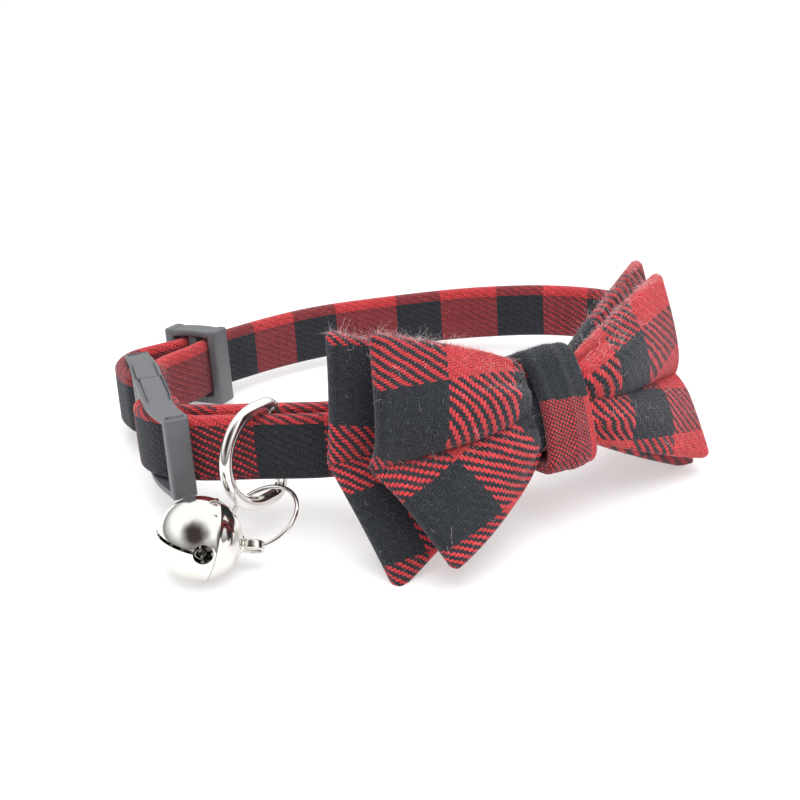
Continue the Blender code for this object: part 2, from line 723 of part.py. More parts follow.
def make_knot(look):
    """A closed band round both layers and the strap, across the bow's middle."""
    front = bow_forward * (BOW_LAYER_SPACE + BOW_CLOTH_PINCHED / 2 + GAP + KNOT_CLOTH / 2)
    half = bow_up * (KNOT_HEIGHT - KNOT_CLOTH) / 2
    back_y = strap_front.y + STRAP_THICKNESS / 2 + KNOT_ROOM + KNOT_CLOTH / 2
    rise = STRAP_WIDTH / 2 + KNOT_ROOM + KNOT_CLOTH / 2
    lean = math.tan(LOOP_TILT) * rise
    corners = [
        bow_middle + front - half,
        bow_middle + front + half,
        Vector((bow_middle.x, back_y + lean, strap_front.z + rise)),
        Vector((bow_middle.x, back_y - lean, strap_front.z - rise)),
    ]
    bm = bmesh.new()
    left = [bm.verts.new(c - Vector((KNOT_WIDTH / 2, 0.0, 0.0))) for c in corners]
    right = [bm.verts.new(c + Vector((KNOT_WIDTH / 2, 0.0, 0.0))) for c in corners]
    for index in range(4):
        after = (index + 1) % 4
        bm.faces.new((left[index], left[after], right[after], right[index]))
    made = add_object("bow_knot", mesh_from("bow_knot", bm), look)
    solid = made.modifiers.new("cloth", "SOLIDIFY")
    solid.thickness = KNOT_CLOTH
    solid.offset = 0.0
    solid.use_even_offset = True
    round_edges(made, KNOT_EDGE_ROUND, 2, 40.0)
    return made


def centre_on_table():
    """Moves the whole model so that the middle of its box is over the origin."""
    bpy.context.view_layer.update()
    depsgraph = bpy.context.evaluated_depsgraph_get()
    low, high = Vector((9.0, 9.0, 9.0)), Vector((-9.0, -9.0, -9.0))
    for item in parts.objects:
        if item.type == "EMPTY":
            continue
        shown = item.evaluated_get(depsgraph)
        mesh = shown.to_mesh()
        for vertex in mesh.vertices:
            point = shown.matrix_world @ vertex.co
            low = Vector(map(min, low, point))
            high = Vector(map(max, high, point))
        shown.to_mesh_clear()
    shift = Vector((-(low.x + high.x) / 2, -(low.y + high.y) / 2, -low.z))
    for item in [*parts.objects, *cutters.objects]:
        if item.parent is None:
            item.matrix_world = Matrix.Translation(shift) @ item.matrix_world
    return shift


cloth = material("buffalo_check_cloth", (0.20, 0.04, 0.05), 0.9)
plastic = material("black_plastic", (0.03, 0.032, 0.036), 0.5)
nickel = material("nickel_wire", (0.72, 0.72, 0.70), 0.18, 1.0)
bell_metal = material("nickel_bell", (0.78, 0.78, 0.76), 0.12, 1.0)
ribbon("collar_strap", strap_line(), STRAP_WIDTH, STRAP_THICKNESS, STRAP_EDGE_ROUND, cloth, collar)
make_buckle(plastic)
make_slider(plastic)
make_d_ring(nickel)
make_jump_ring(nickel)
make_bell(bell_metal)
make_layer("back", cloth)
make_layer("front", cloth)
make_knot(cloth)
centre_on_table()
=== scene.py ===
"""Pet bow tie collar: the fine surface, the materials, the light and the camera.

The shapes follow the collar's own design. Everything is laid out in the design's place, in
metres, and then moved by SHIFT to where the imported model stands. "mm" values are in millimetres.
"""

import math

import bmesh
import bpy
import numpy as np
from mathutils import Matrix, Vector
from mathutils.geometry import interpolate_bezier

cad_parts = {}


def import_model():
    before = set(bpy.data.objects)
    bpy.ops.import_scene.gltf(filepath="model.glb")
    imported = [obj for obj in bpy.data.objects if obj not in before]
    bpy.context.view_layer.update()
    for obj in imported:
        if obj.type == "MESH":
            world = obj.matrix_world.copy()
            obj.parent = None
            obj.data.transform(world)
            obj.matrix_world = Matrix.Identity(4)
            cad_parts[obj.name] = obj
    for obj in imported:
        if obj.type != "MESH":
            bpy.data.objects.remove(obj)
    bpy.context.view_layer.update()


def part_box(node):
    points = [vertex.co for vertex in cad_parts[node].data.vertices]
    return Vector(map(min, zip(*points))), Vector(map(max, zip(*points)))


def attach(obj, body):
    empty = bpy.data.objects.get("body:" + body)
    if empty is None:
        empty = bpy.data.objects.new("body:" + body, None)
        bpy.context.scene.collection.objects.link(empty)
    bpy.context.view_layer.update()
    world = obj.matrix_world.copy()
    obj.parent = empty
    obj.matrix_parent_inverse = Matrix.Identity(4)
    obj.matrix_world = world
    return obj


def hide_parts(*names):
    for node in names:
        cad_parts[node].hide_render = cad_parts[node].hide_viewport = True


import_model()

MM = 0.001
GAP = 0.3 * MM
# Where the design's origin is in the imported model
SHIFT = Vector((7.737, 10.279, 0.0)) * MM

# ---------------------------------------------------------------- sizes
STRAP_WIDTH = 11.0 * MM
STRAP_THICKNESS = 2.4 * MM
STRAP_CORNER = 0.95 * MM
STRAP_CROWN = 0.10 * MM
STRAP_STEP = 0.6 * MM
FOLD_LEAD = 1.4
FOLD_SEGMENTS = 6
LOOP_HALF_WIDTH = 50.0 * MM
LOOP_HALF_DEPTH = 35.0 * MM
LOOP_TILT = math.radians(7.3)
BUCKLE_HEIGHT = 13.6 * MM
BUCKLE_THICKNESS = 5.0 * MM
BUCKLE_CORE = 4.0 * MM
BUCKLE_BAR_RADIUS = 1.1 * MM
BUCKLE_END_BAR = 2.2 * MM
SLIDER_HEIGHT = 15.0 * MM
SLIDER_THICKNESS = 4.4 * MM
SLIDER_BAR = 2.0 * MM
SLIDER_TURN = math.radians(-57.0)
D_RING_WIRE = 2.3 * MM
D_RING_INNER_HEIGHT = 13.5 * MM
D_RING_DEPTH = 12.4 * MM
D_RING_SWING = math.radians(204.0)
D_RING_ALONG = 0.25
D_RING_HOLD = math.radians(-71.0)
JUMP_RING_WIRE = 0.75 * MM
JUMP_RING_RADIUS = 6.0 * MM
JUMP_RING_HANG = 2.85 * MM
JUMP_RING_SHIFT = 2.4 * MM
RING_HEADING = math.radians(228.0)
RING_DROP = math.radians(24.3)
RING_ACROSS = math.radians(-49.0)
RING_ACROSS_RISE = math.radians(15.3)
BELL_RADIUS = 6.6 * MM
BELL_WALL = 0.6 * MM
BELL_HEADING = math.radians(163.0)
BELL_SLIT_HEADING = math.radians(260.0)
BELL_HOLE_ANGLE = math.radians(87.0)
BELL_HOLE_RADIUS = 1.55 * MM
BELL_SLIT_RISE = math.radians(6.0)
BELL_SLIT_END = math.radians(94.0)
BELL_LOOP_RADIUS = 1.7 * MM
BELL_LOOP_REST = 0.45 * MM
BELL_SEAM = 1.6 * MM
BELL_SLIT = 0.55 * MM
BOW_HALF_LENGTH = 38.0 * MM
BOW_HALF_HEIGHT = 20.0 * MM
BOW_CLOTH = 2.7 * MM
BOW_CLOTH_PINCHED = 2.2 * MM
BOW_LAYER_SPACE = 4.0 * MM
BOW_LEAN = math.radians(26.0)
BOW_SHIFT = -1.5 * MM
KNOT_WIDTH = 11.0 * MM
KNOT_HEIGHT = 20.0 * MM
KNOT_CLOTH = 1.7 * MM
KNOT_ROOM = 0.75 * MM
KNOT_RISE = 2.2 * MM

# Places on the neck loop, as shares of its half width and half depth
LOOP_ROWS = {
    "back_left": (-0.44, 0.855), "back": (-0.10, 0.915), "back_right": (0.26, 0.80),
    "right_back": (0.60, 0.60), "right_upper": (0.83, 0.34), "right": (0.955, -0.05),
    "right_front": (0.80, -0.50), "front_right": (0.42, -0.90), "front": (0.0, -1.045),
    "front_left": (-0.36, -1.00), "ring_right": (-0.70, -0.85), "ring_left": (-0.868, -0.666),
    "buckle_mouth": (-1.036, -0.483), "corner": (-1.104, -0.355),
}
ADJUSTER_ROWS = ((-0.81, 0.805), (-0.92, 0.77), (-1.00, 0.64))
SEWN_END = 0.25
FAR_END_PLACE = (-0.950, 0.600)
NEAR_BEND_PLACE = (-1.100, -0.343)
NEAR_END_PLACE = (-1.108, -0.575)
SLIDER_PLACE = (-0.656, 0.797)
FAR_BAR_PLACE = (-0.978, 0.386)
NEAR_BAR_PLACE = (-1.066, -0.135)

# Corners of the wing ends: along, forward, up, and how far the edge to that corner bends out
WING_ENDS = {
    "back_left": {"top": (-0.958, -0.235, 1.03, 0.03), "crease": (-1.00, -0.10, -0.055, 0.0),
                  "bottom": (-0.857, 0.512, -0.88, 0.03)},
    "back_right": {"top": (0.903, -0.785, 0.835, 0.03), "crease": (1.00, -0.575, -0.18, 0.0),
                   "bottom": (0.96, 0.10, -0.88, 0.04)},
    "front_left": {"top": (-0.862, 0.115, 1.08, 0.075), "crease": (-0.894, 0.225, -0.01, 0.0),
                   "bottom": (-0.688, 0.835, -0.735, 0.07)},
    "front_right": {"top": (0.892, -0.485, 0.79, 0.03), "crease": (0.95, -0.275, -0.18, 0.0),
                    "bottom": (0.921, 0.34, -0.79, 0.05)},
}
WING_PUFF = {"front": 3.0 * MM, "back": 0.9 * MM}
UPPER_PUFF = 0.38
TRIM = 0.975
PUFF_AT_END = 0.35
PUFF_NEAR_KNOT = 0.6
EDGE_BEND_SHAPE = 0.7
UPPER_BEND = 0.6
PLEAT_SHARPNESS = 0.7
UPPER_SHARPNESS = 0.56
CREASE_DEPTH = {"front": 3.0 * MM, "back": 0.6 * MM}
CREASE_REACH = 0.14
OVERHANG = {"front": 1.7 * MM, "back": 0.3 * MM}
OVERHANG_LEVEL = 0.16
OVERHANG_REACH = 0.13
CORNER_SINK = 0.8
PINCH_ROOM = 0.9 * MM
LEFT_START = 2.4 * MM
BACK_PINCH = 0.88

# The check's two directions on each lobe: the place on the cloth, in mm, is
# a * x + b * z + c for a point of the flat wing at x, z in mm
CHECK_AXES = {
    ("front", "left", "top"): ((0.8616, -0.165, 23.78), (0.2267, 1.2219, -29.435)),
    ("front", "left", "bottom"): ((0.8347, 0.6458, 7.766), (-0.445, 1.5737, -35.866)),
    ("back", "left", "top"): ((1.0484, -0.1059, 31.449), (0.2445, 0.9771, -25.955)),
    ("back", "left", "bottom"): ((1.1278, 0.2953, 29.992), (-0.1148, 1.1614, -43.099)),
    ("front", "right", "top"): ((1.4161, 0.0367, -6.711), (-0.33, 1.7623, -37.9)),
    ("front", "right", "bottom"): ((1.0578, -0.3341, 2.102), (0.5969, 2.2264, -47.271)),
    ("back", "right", "top"): ((1.1205, -0.8315, 29.676), (-0.0829, 0.9176, -27.512)),
    ("back", "right", "bottom"): ((1.1205, -0.3, 2.0), (-0.0829, 0.9176, -27.512)),
}
# How much finer the threads lie than the common pitch, along the two directions
WEAVE_PITCH = {("front", "left", "top"): (0.84, 1.28), ("back", "left", "top"): (0.9, 1.1)}
CHECK = 12.0
# Where the strap's check changes between red and charcoal: along it, and round its section, mm
STRAP_COLUMNS = (-5.0, 16.0, 42.0, 62.5, 73.0, 83.0, 93.0, 106.5, 116.3, 128.7, 139.0, 149.4,
                 159.9, 170.3, 180.8, 191.2, 201.7, 212.1, 222.6, 233.0, 243.5, 253.9, 265.2,
                 276.0, 288.0, 299.0, 310.0, 321.0, 332.0, 343.0, 354.0)
STRAP_ROWS = (-10.0, -1.0, 9.9, 14.4, 28.0)
STRAP_WEAVE = (-0.76, 1.4)


def at(place):
    return Vector((place[0] * LOOP_HALF_WIDTH, place[1] * LOOP_HALF_DEPTH))


def row(name):
    return at(LOOP_ROWS[name])


def heading(angle):
    return Vector((math.cos(angle), math.sin(angle)))


def direction(angle, rise):
    flat = math.cos(rise)
    return Vector((math.cos(angle) * flat, math.sin(angle) * flat, math.sin(rise)))


def side(way):
    return Vector((-way.y, way.x))


def smooth(points, step):
    """A smooth line through the points: one Bezier piece from each to the next."""
    lengths = [(b - a).length for a, b in zip(points, points[1:])]
    slopes = [(b - a) / d for a, b, d in zip(points, points[1:], lengths)]
    tangents = [slopes[0]]
    for before, after, d0, d1 in zip(slopes, slopes[1:], lengths, lengths[1:]):
        tangents.append((before * d1 + after * d0) / (d0 + d1))
    tangents.append(slopes[-1])
    line = [points[0]]
    for index, length in enumerate(lengths):
        start, stop = points[index], points[index + 1]
        count = max(1, round(length / step))
        piece = interpolate_bezier(
            start.to_3d(),
            (start + tangents[index] * length / 3).to_3d(),
            (stop - tangents[index + 1] * length / 3).to_3d(),
            stop.to_3d(),
            count + 1,
        )
        line.extend(point.xy for point in piece[1:])
    return line


def half_turn(centre, outward, along, radius):
    points = []
    for index in range(FOLD_SEGMENTS + 1):
        angle = math.pi * index / FOLD_SEGMENTS
        points.append(centre + outward * radius * math.cos(angle) + along * radius * math.sin(angle))
    return points


FOLD_RADIUS = BUCKLE_BAR_RADIUS + GAP + STRAP_THICKNESS / 2
WINDOW = STRAP_THICKNESS + 2 * GAP
WINDOW_PITCH = (SLIDER_BAR + WINDOW) / 2
SLIDER_REACH = SLIDER_THICKNESS / 2 + STRAP_THICKNESS
SLIDER_LENGTH = 3 * SLIDER_BAR + 2 * WINDOW
far_bar = at(FAR_BAR_PLACE)
near_bar = at(NEAR_BAR_PLACE)
buckle_axis = (far_bar - near_bar).normalized()
buckle_out = side(buckle_axis)
slider_middle = at(SLIDER_PLACE)
slider_in = heading(SLIDER_TURN)
slider_right = side(slider_in)
slider_low = slider_middle - slider_in * SLIDER_LENGTH / 2 + slider_right * SLIDER_THICKNESS / 2
table_clearance = (
    (SLIDER_HEIGHT - STRAP_WIDTH) / 2 * math.cos(LOOP_TILT)
    - (LOOP_HALF_DEPTH - slider_low.y) * math.sin(LOOP_TILT)
)
COLLAR = (
    Matrix.Translation(Vector((0.0, LOOP_HALF_DEPTH, table_clearance)))
    @ Matrix.Rotation(-LOOP_TILT, 4, "X")
)


def world(point, height):
    return COLLAR @ Vector((point.x, point.y - LOOP_HALF_DEPTH, height))


def window_run(shift):
    middle = slider_middle + slider_in * shift
    inside = SLIDER_THICKNESS / 2 + GAP
    shifts = (-SLIDER_REACH, -inside, inside, SLIDER_REACH)
    return [middle + slider_right * shift for shift in shifts]


def strap_line(step):
    adjuster_out = window_run(-WINDOW_PITCH)[:0:-1] + [at(entry) for entry in ADJUSTER_ROWS]
    far_turn = half_turn(far_bar, buckle_out, -buckle_axis, FOLD_RADIUS)
    inner_bend = far_turn[-1] + buckle_axis * FOLD_RADIUS * FOLD_LEAD
    adjuster_in = [inner_bend, *window_run(WINDOW_PITCH)]
    neck_run = [at(entry) for entry in LOOP_ROWS.values()]
    near_turn = half_turn(near_bar, buckle_out, buckle_axis, FOLD_RADIUS)
    front_in = (row("ring_left") - row("buckle_mouth")).normalized()
    layer_offset = side(front_in) * 2 * FOLD_RADIUS
    sewn_offset = side(front_in) * (STRAP_THICKNESS + GAP)
    sewn_end = row("front_left") * (1 - SEWN_END) + row("front") * SEWN_END
    inner_run = [
        near_turn[-1] - buckle_axis * FOLD_RADIUS * FOLD_LEAD,
        row("buckle_mouth") + layer_offset + front_in * FOLD_RADIUS * (FOLD_LEAD - 1),
        row("ring_left") + layer_offset,
        row("ring_right") + layer_offset,
        row("front_left") + sewn_offset,
        sewn_end + sewn_offset,
    ]
    return smooth(adjuster_out + far_turn + adjuster_in + neck_run + near_turn + inner_run, step)


# ---------------------------------------------------------------- mesh helpers
def smoothstep(x):
    x = np.clip(x, 0.0, 1.0)
    return x * x * (3 - 2 * x)


def waves(a, b, seed, scale):
    """Slow, repeatable unevenness from a few crossed sines, about -1 to 1."""
    rng = np.random.RandomState(seed)
    total = np.zeros(np.broadcast(a, b).shape)
    for _ in range(6):
        fa, fb = rng.normal(0.0, 1.0, 2) / scale
        total = total + np.sin(fa * a + fb * b + rng.uniform(0, math.tau))
    return total / 3.0


def unit(vectors):
    return vectors / np.maximum(np.linalg.norm(vectors, axis=-1, keepdims=True), 1e-12)


def plan_normals(plan):
    """The way to the left at each point of a line seen from above."""
    tangent = unit(np.gradient(plan, axis=0))
    return np.stack([-tangent[:, 1], tangent[:, 0]], 1)


def show(name, data):
    made = bpy.data.objects.new(name, data)
    bpy.context.scene.collection.objects.link(made)
    return made


def add_piece(name, verts, faces, look, uvs=None):
    """A smooth-shaded mesh. uvs is {layer name: one (u, v) a face corner}."""
    mesh = bpy.data.meshes.new(name)
    moved = np.asarray(verts, float) + np.array(SHIFT)
    mesh.from_pydata([tuple(v) for v in moved], [], faces)
    for layer_name, values in (uvs or {}).items():
        layer = mesh.uv_layers.new(name=layer_name)
        layer.data.foreach_set("uv", np.asarray(values, np.float32).ravel())
    mesh.shade_smooth()
    mesh.materials.append(look)
    mesh.update()
    return show(name, mesh)


def ring_piece(name, sections, look, weave=None, check=None, closed=False):
    """A solid from cross-sections of equal count, one after another, with flat ends."""
    n, m = sections.shape[:2]
    verts = sections.reshape(-1, 3)
    faces, keys = [], []
    for i in range(n if closed else n - 1):
        after = (i + 1) % n
        for j in range(m):
            k = (j + 1) % m
            faces.append((i * m + j, after * m + j, after * m + k, i * m + k))
            keys.append(((i, j), (i + 1, j), (i + 1, j + 1), (i, j + 1)))
    if not closed:
        faces.append(tuple(range(m)))
        keys.append(tuple((0, j) for j in range(m)))
        faces.append(tuple(range(n * m - 1, (n - 1) * m - 1, -1)))
        keys.append(tuple((n - 1, j) for j in range(m - 1, -1, -1)))
    uvs = {}
    for layer_name, table in (("weave", weave), ("check", check)):
        if table is not None:
            uvs[layer_name] = [table[key] for face in keys for key in face]
    return add_piece(name, verts, faces, look, uvs)


def wire(name, path, section, up_hint, look):
    """An (across, up) outline carried along a closed 3D path."""
    path = np.array([tuple(p) for p in path])
    tangent = unit(np.roll(path, -1, 0) - np.roll(path, 1, 0))
    hint = np.array(up_hint, float)
    up = unit(hint - tangent * (tangent @ hint)[:, None])
    across = np.cross(up, tangent)
    section = np.asarray(section)
    shape = (
        path[:, None, :]
        + across[:, None, :] * section[None, :, 0:1]
        + up[:, None, :] * section[None, :, 1:2]
    )
    return ring_piece(name, shape, look, closed=True)


def circle(radius, count, squash=1.0):
    angles = [math.tau * k / count for k in range(count)]
    return [(radius * math.cos(a), radius * squash * math.sin(a)) for a in angles]


def round_section(width, height, corner, per_corner=5, per_side=3):
    """Outline of a rounded rectangle, anticlockwise."""
    points = []
    centres = ((1, -1, -90), (1, 1, 0), (-1, 1, 90), (-1, -1, 180))
    for sx, sy, start in centres:
        cx, cy = sx * (width / 2 - corner), sy * (height / 2 - corner)
        for k in range(per_corner + 1):
            angle = math.radians(start + 90.0 * k / per_corner)
            points.append((cx + corner * math.cos(angle), cy + corner * math.sin(angle)))
    outline = []
    for a, b in zip(points, points[1:] + points[:1]):
        outline.append(a)
        gap = math.hypot(b[0] - a[0], b[1] - a[1])
        if gap > corner * 1.2:
            for k in range(1, per_side + 1):
                share = k / (per_side + 1)
                outline.append((a[0] + (b[0] - a[0]) * share, a[1] + (b[1] - a[1]) * share))
    return np.array(outline)


def soften(target, width, segments, limit):
    """Rounded edges on a hard piece, baked into its mesh."""
    bevel = target.modifiers.new("edges", "BEVEL")
    bevel.width = width
    bevel.segments = segments
    bevel.limit_method = "ANGLE"
    bevel.angle_limit = math.radians(limit)
    bevel.harden_normals = False
    bake(target)
    target.data.set_sharp_from_angle(angle=math.radians(50.0))


def bake(target):
    bpy.context.view_layer.update()
    depsgraph = bpy.context.evaluated_depsgraph_get()
    made = bpy.data.meshes.new_from_object(target.evaluated_get(depsgraph))
    target.modifiers.clear()
    old = target.data
    target.data = made
    bpy.data.meshes.remove(old)


def join_pieces(name, pieces):
    """Several closed meshes as one object."""
    bm = bmesh.new()
    for item in pieces:
        bm.from_mesh(item.data)
    mesh = bpy.data.meshes.new(name)
    bm.to_mesh(mesh)
    bm.free()
    mesh.materials.append(pieces[0].data.materials[0])
    mesh.shade_smooth()
    mesh.set_sharp_from_angle(angle=math.radians(40.0))
    for item in pieces:
        bpy.data.objects.remove(item)
    return show(name, mesh)


# ---------------------------------------------------------------- materials
class Graph:
    """Builds the shader nodes of a material or a world."""

    def __init__(self, owner, end="Principled BSDF"):
        owner.use_nodes = True
        self.owner = owner
        self.tree = owner.node_tree
        self.end = self.tree.nodes[end]

    def put(self, socket, value):
        if isinstance(value, bpy.types.NodeSocket):
            self.tree.links.new(value, socket)
        else:
            socket.default_value = value

    def set(self, **values):
        """Fills sockets of the last node; a _ in a name stands for a space."""
        for name, value in values.items():
            self.put(self.end.inputs[name.replace("_", " ")], value)

    def node(self, kind, *values, operation=None):
        node = self.tree.nodes.new("ShaderNode" + kind)
        if operation:
            node.operation = operation
        for socket, value in zip(node.inputs, values):
            self.put(socket, value)
        return node

    def math(self, operation, *values):
        return self.node("Math", *values, operation=operation).outputs[0]

    def vector(self, operation, a, b, output=0):
        return self.node("VectorMath", a, b, operation=operation).outputs[output]

    def uv(self, name):
        node = self.node("UVMap")
        node.uv_map = name
        return node.outputs[0]

    def place(self, kind="Object"):
        return self.node("TexCoord").outputs[kind]

    def split(self, value):
        return self.node("SeparateXYZ", value).outputs

    def join(self, *values):
        return self.node("CombineXYZ", *values).outputs[0]

    def noise(self, place, scale, detail=3.0, rough=0.5):
        node = self.node("TexNoise", place)
        for name, value in (("Scale", scale), ("Detail", detail), ("Roughness", rough)):
            node.inputs[name].default_value = value
        return node.outputs[0], node.outputs[1]

    def random(self, place):
        node = self.node("TexWhiteNoise")
        node.noise_dimensions = "2D"
        self.put(node.inputs["Vector"], place)
        return node.outputs[0]

    def mix(self, share, a, b, kind="MIX"):
        node = self.node("Mix")
        node.data_type = "RGBA"
        node.blend_type = kind
        for index, value in ((0, share), (6, a), (7, b)):
            self.put(node.inputs[index], value)
        return node.outputs[2]

    def ramp(self, *values):
        """value, low, high and, where they aren't 0 and 1, what these two become."""
        return self.node("MapRange", *values).outputs[0]

    def bump(self, height, distance, strength, before=None):
        node = self.node("Bump")
        for name, value in (("Strength", strength), ("Distance", distance), ("Height", height)):
            self.put(node.inputs[name], value)
        if before is not None:
            self.put(node.inputs["Normal"], before)
        return node.outputs[0]


def new_look(name):
    return Graph(bpy.data.materials.new(name))


RED = (0.52, 0.033, 0.038, 1.0)
RED_PALE = (0.66, 0.145, 0.155, 1.0)
CHARCOAL = (0.013, 0.0155, 0.020, 1.0)
CHARCOAL_PALE = (0.112, 0.120, 0.136, 1.0)
RED_LINT = (0.80, 0.50, 0.51, 1.0)
CHARCOAL_LINT = (0.34, 0.34, 0.36, 1.0)
THREAD = 0.45


def cloth_material(name, fuzz=0.0, nap_from=None, repeat=4.0, warp_shown=2.0):
    """Brushed cotton, warp and weft threads in bands of red and charcoal.

    repeat is the weave's repeat in threads: 4 for a 2/2 twill, 2 for a plain weave.
    """
    g = new_look(name)
    cloth_place = g.uv("weave")
    _, drift = g.noise(cloth_place, 0.35, 2.0)
    _, wobble = g.noise(cloth_place, 2.2, 2.0)
    drift = g.vector("SUBTRACT", drift, (0.5, 0.5, 0.5))
    wobble = g.vector("SUBTRACT", wobble, (0.5, 0.5, 0.5))
    moved = g.vector("ADD", cloth_place, g.vector("MULTIPLY", drift, (0.7, 0.7, 0.0)))
    moved = g.vector("ADD", moved, g.vector("MULTIPLY", wobble, (0.12, 0.12, 0.0)))
    x, y, _ = g.split(moved)
    a = g.math("DIVIDE", x, THREAD)
    b = g.math("DIVIDE", y, THREAD)
    ia, ib = g.math("FLOOR", a), g.math("FLOOR", b)
    fa, fb = g.math("SUBTRACT", a, ia), g.math("SUBTRACT", b, ib)
    warp_run = g.math("FLOORED_MODULO", g.math("ADD", b, ia), repeat)
    weft_run = g.math("FLOORED_MODULO", g.math("ADD", a, ib), repeat)
    warp_up = g.math("LESS_THAN", warp_run, warp_shown)
    weft_up = g.math("SUBTRACT", 1.0, warp_up)

    def of_shown(warp_value, weft_value):
        """The value of the thread that lies on top."""
        warp_value = g.math("MULTIPLY", warp_up, warp_value)
        return g.math("ADD", warp_value, g.math("MULTIPLY", weft_up, weft_value))

    cu, cv, _ = g.split(g.uv("check"))
    band_u = g.math("FLOORED_MODULO", g.math("FLOOR", cu), 2.0)
    band_v = g.math("FLOORED_MODULO", g.math("FLOOR", cv), 2.0)
    dark = of_shown(band_u, band_v)

    if nap_from is not None:
        # towards the far sides the nap lies thicker and hides the single threads
        axis, *span = nap_from
        thick = g.ramp(g.split(g.place())[axis], *span)
        plain = g.math("POWER", g.math("MULTIPLY", g.math("ADD", band_u, band_v), 0.5), 0.72)
        dark = g.math("MULTIPLY_ADD", thick, g.math("SUBTRACT", plain, dark), dark)

    def rounded(across, along):
        off = g.math("MULTIPLY_ADD", across, 2.0, -1.0)
        hump = g.math("SUBTRACT", 1.0, g.math("MULTIPLY", off, off))
        hump = g.math("SQRT", g.math("MAXIMUM", hump, 0.0))
        rise = g.math("SINE", g.math("MULTIPLY", along, math.pi))
        rise = g.math("POWER", g.math("MAXIMUM", rise, 0.0), 0.35)
        return g.math("MULTIPLY", hump, g.math("MULTIPLY_ADD", rise, 0.55, 0.45))

    warp_h = rounded(fa, g.math("MULTIPLY", warp_run, 1.0 / warp_shown))
    weft_h = rounded(fb, g.math("MULTIPLY_ADD", weft_run, 2.0 / repeat, -1.0))
    height = of_shown(warp_h, g.math("MULTIPLY", weft_h, 0.92))
    tone = of_shown(g.random(g.join(ia, 3.0)), g.random(g.join(7.0, ib)))
    fibre, _ = g.noise(g.vector("MULTIPLY", cloth_place, (1.0, 1.0, 0.0)), 9.0, 4.0, 0.7)
    nap, _ = g.noise(cloth_place, 1.1, 4.0, 0.65)
    worn, _ = g.noise(cloth_place, 0.12, 3.0, 0.5)
    red = g.mix(g.ramp(fibre, 0.42, 0.78, 0.0, 0.55 + 0.3 * fuzz), RED, RED_PALE)
    black = g.mix(g.ramp(fibre, 0.47, 0.71, 0.0, 0.66 + 0.3 * fuzz), CHARCOAL, CHARCOAL_PALE)
    colour = g.mix(dark, red, black)
    # painted shade and highlight: the colour darkens in the low gaps between threads and at the ends
    # of each float, and lightens a little on the thread crowns
    shade = g.ramp(height, 0.15, 0.80, 0.20 + 0.6 * fuzz, 1.12)
    for part in ((tone, 0.0, 1.0, 0.84, 1.12), (nap, 0.3, 0.7, 0.90, 1.08),
                 (worn, 0.3, 0.7, 0.93, 1.07)):
        shade = g.math("MULTIPLY", shade, g.ramp(*part))
    # the painted thread shade, times the random thread tone, nap and wear, darkens the colour
    colour = g.mix(1.0, colour, g.join(shade, shade, shade), "MULTIPLY")
    if fuzz:
        colour = g.mix(0.50, colour, g.mix(dark, RED_LINT, CHARCOAL_LINT))
    g.set(
        Base_Color=colour, Roughness=g.ramp(fibre, 0.3, 0.7, 0.86, 0.98), Specular_IOR_Level=0.18,
        Sheen_Weight=0.20, Sheen_Roughness=0.45, Sheen_Tint=(0.92, 0.94, 1.0, 1.0),
    )
    if not fuzz:
        g.set(Normal=g.bump(height, 0.16 * MM, 0.9, g.bump(fibre, 0.05 * MM, 0.6)))
    return g.owner


def fibre_material(name):
    """Pale cotton lint."""
    g = new_look(name)
    patch, _ = g.noise(g.place(), 900.0, 2.0)
    colour = g.mix(g.ramp(patch, 0.4, 0.6), (0.78, 0.62, 0.62, 1.0), (0.85, 0.83, 0.83, 1.0))
    g.set(Base_Color=colour, Roughness=0.8, Specular_IOR_Level=0.2)
    return g.owner


PLASTIC = (0.082, 0.087, 0.095, 1.0)
PLASTIC_PALE = (0.101, 0.107, 0.116, 1.0)


def plastic_material(name):
    g = new_look(name)
    place = g.place()
    grain, _ = g.noise(place, 2600.0, 3.0, 0.6)
    cloud, _ = g.noise(place, 160.0, 3.0, 0.5)
    g.set(
        Base_Color=g.mix(g.ramp(cloud, 0.35, 0.65), PLASTIC, PLASTIC_PALE),
        Roughness=g.ramp(cloud, 0.3, 0.7, 0.40, 0.52), Specular_IOR_Level=0.75,
        Normal=g.bump(grain, 0.03 * MM, 0.5),
    )
    return g.owner


def metal_material(name, tint, rough):
    g = new_look(name)
    place = g.place()
    smear, _ = g.noise(place, 220.0, 3.0, 0.6)
    marks, _ = g.noise(g.vector("MULTIPLY", place, (1.0, 4.0, 1.0)), 900.0, 2.0, 0.5)
    waver, _ = g.noise(place, 190.0, 1.0, 0.4)
    darker = tuple(channel * 0.90 for channel in tint[:3]) + (1.0,)
    g.set(
        Base_Color=g.mix(g.ramp(smear, 0.35, 0.7), tint, darker), Metallic=1.0,
        Roughness=g.ramp(smear, 0.3, 0.7, rough * 0.7, rough * 1.5),
        Normal=g.bump(waver, 0.10 * MM, 0.35, g.bump(marks, 0.006 * MM, 0.4)),
    )
    return g.owner


cloth = cloth_material("check_cloth", 0.0, (0, 0.027, 0.044, 0.0, 0.6))
cloth_fuzz = cloth_material("check_cloth_fibres", 1.0)
strap_cloth = cloth_material("strap_check_cloth", 0.0, (1, 0.000, 0.034, 0.14, 0.95), 4.0, 1.5)
knot_cloth = cloth_material("knot_check_cloth", 0.0, (2, -1.0, 1.0, 0.16, 0.16), 2.0, 1.0)
lint = fibre_material("cotton_lint")
plastic = plastic_material("dark_plastic")
nickel = metal_material("polished_nickel", (0.86, 0.84, 0.81, 1.0), 0.10)
bell_metal = metal_material("bell_nickel", (0.82, 0.81, 0.77, 1.0), 0.10)

# ---------------------------------------------------------------- strap
SECTION_CORNER_STEPS = 5
STRAP_RIPPLE = 0.07 * MM
STRAP_EDGE_RIPPLE = 0.09 * MM


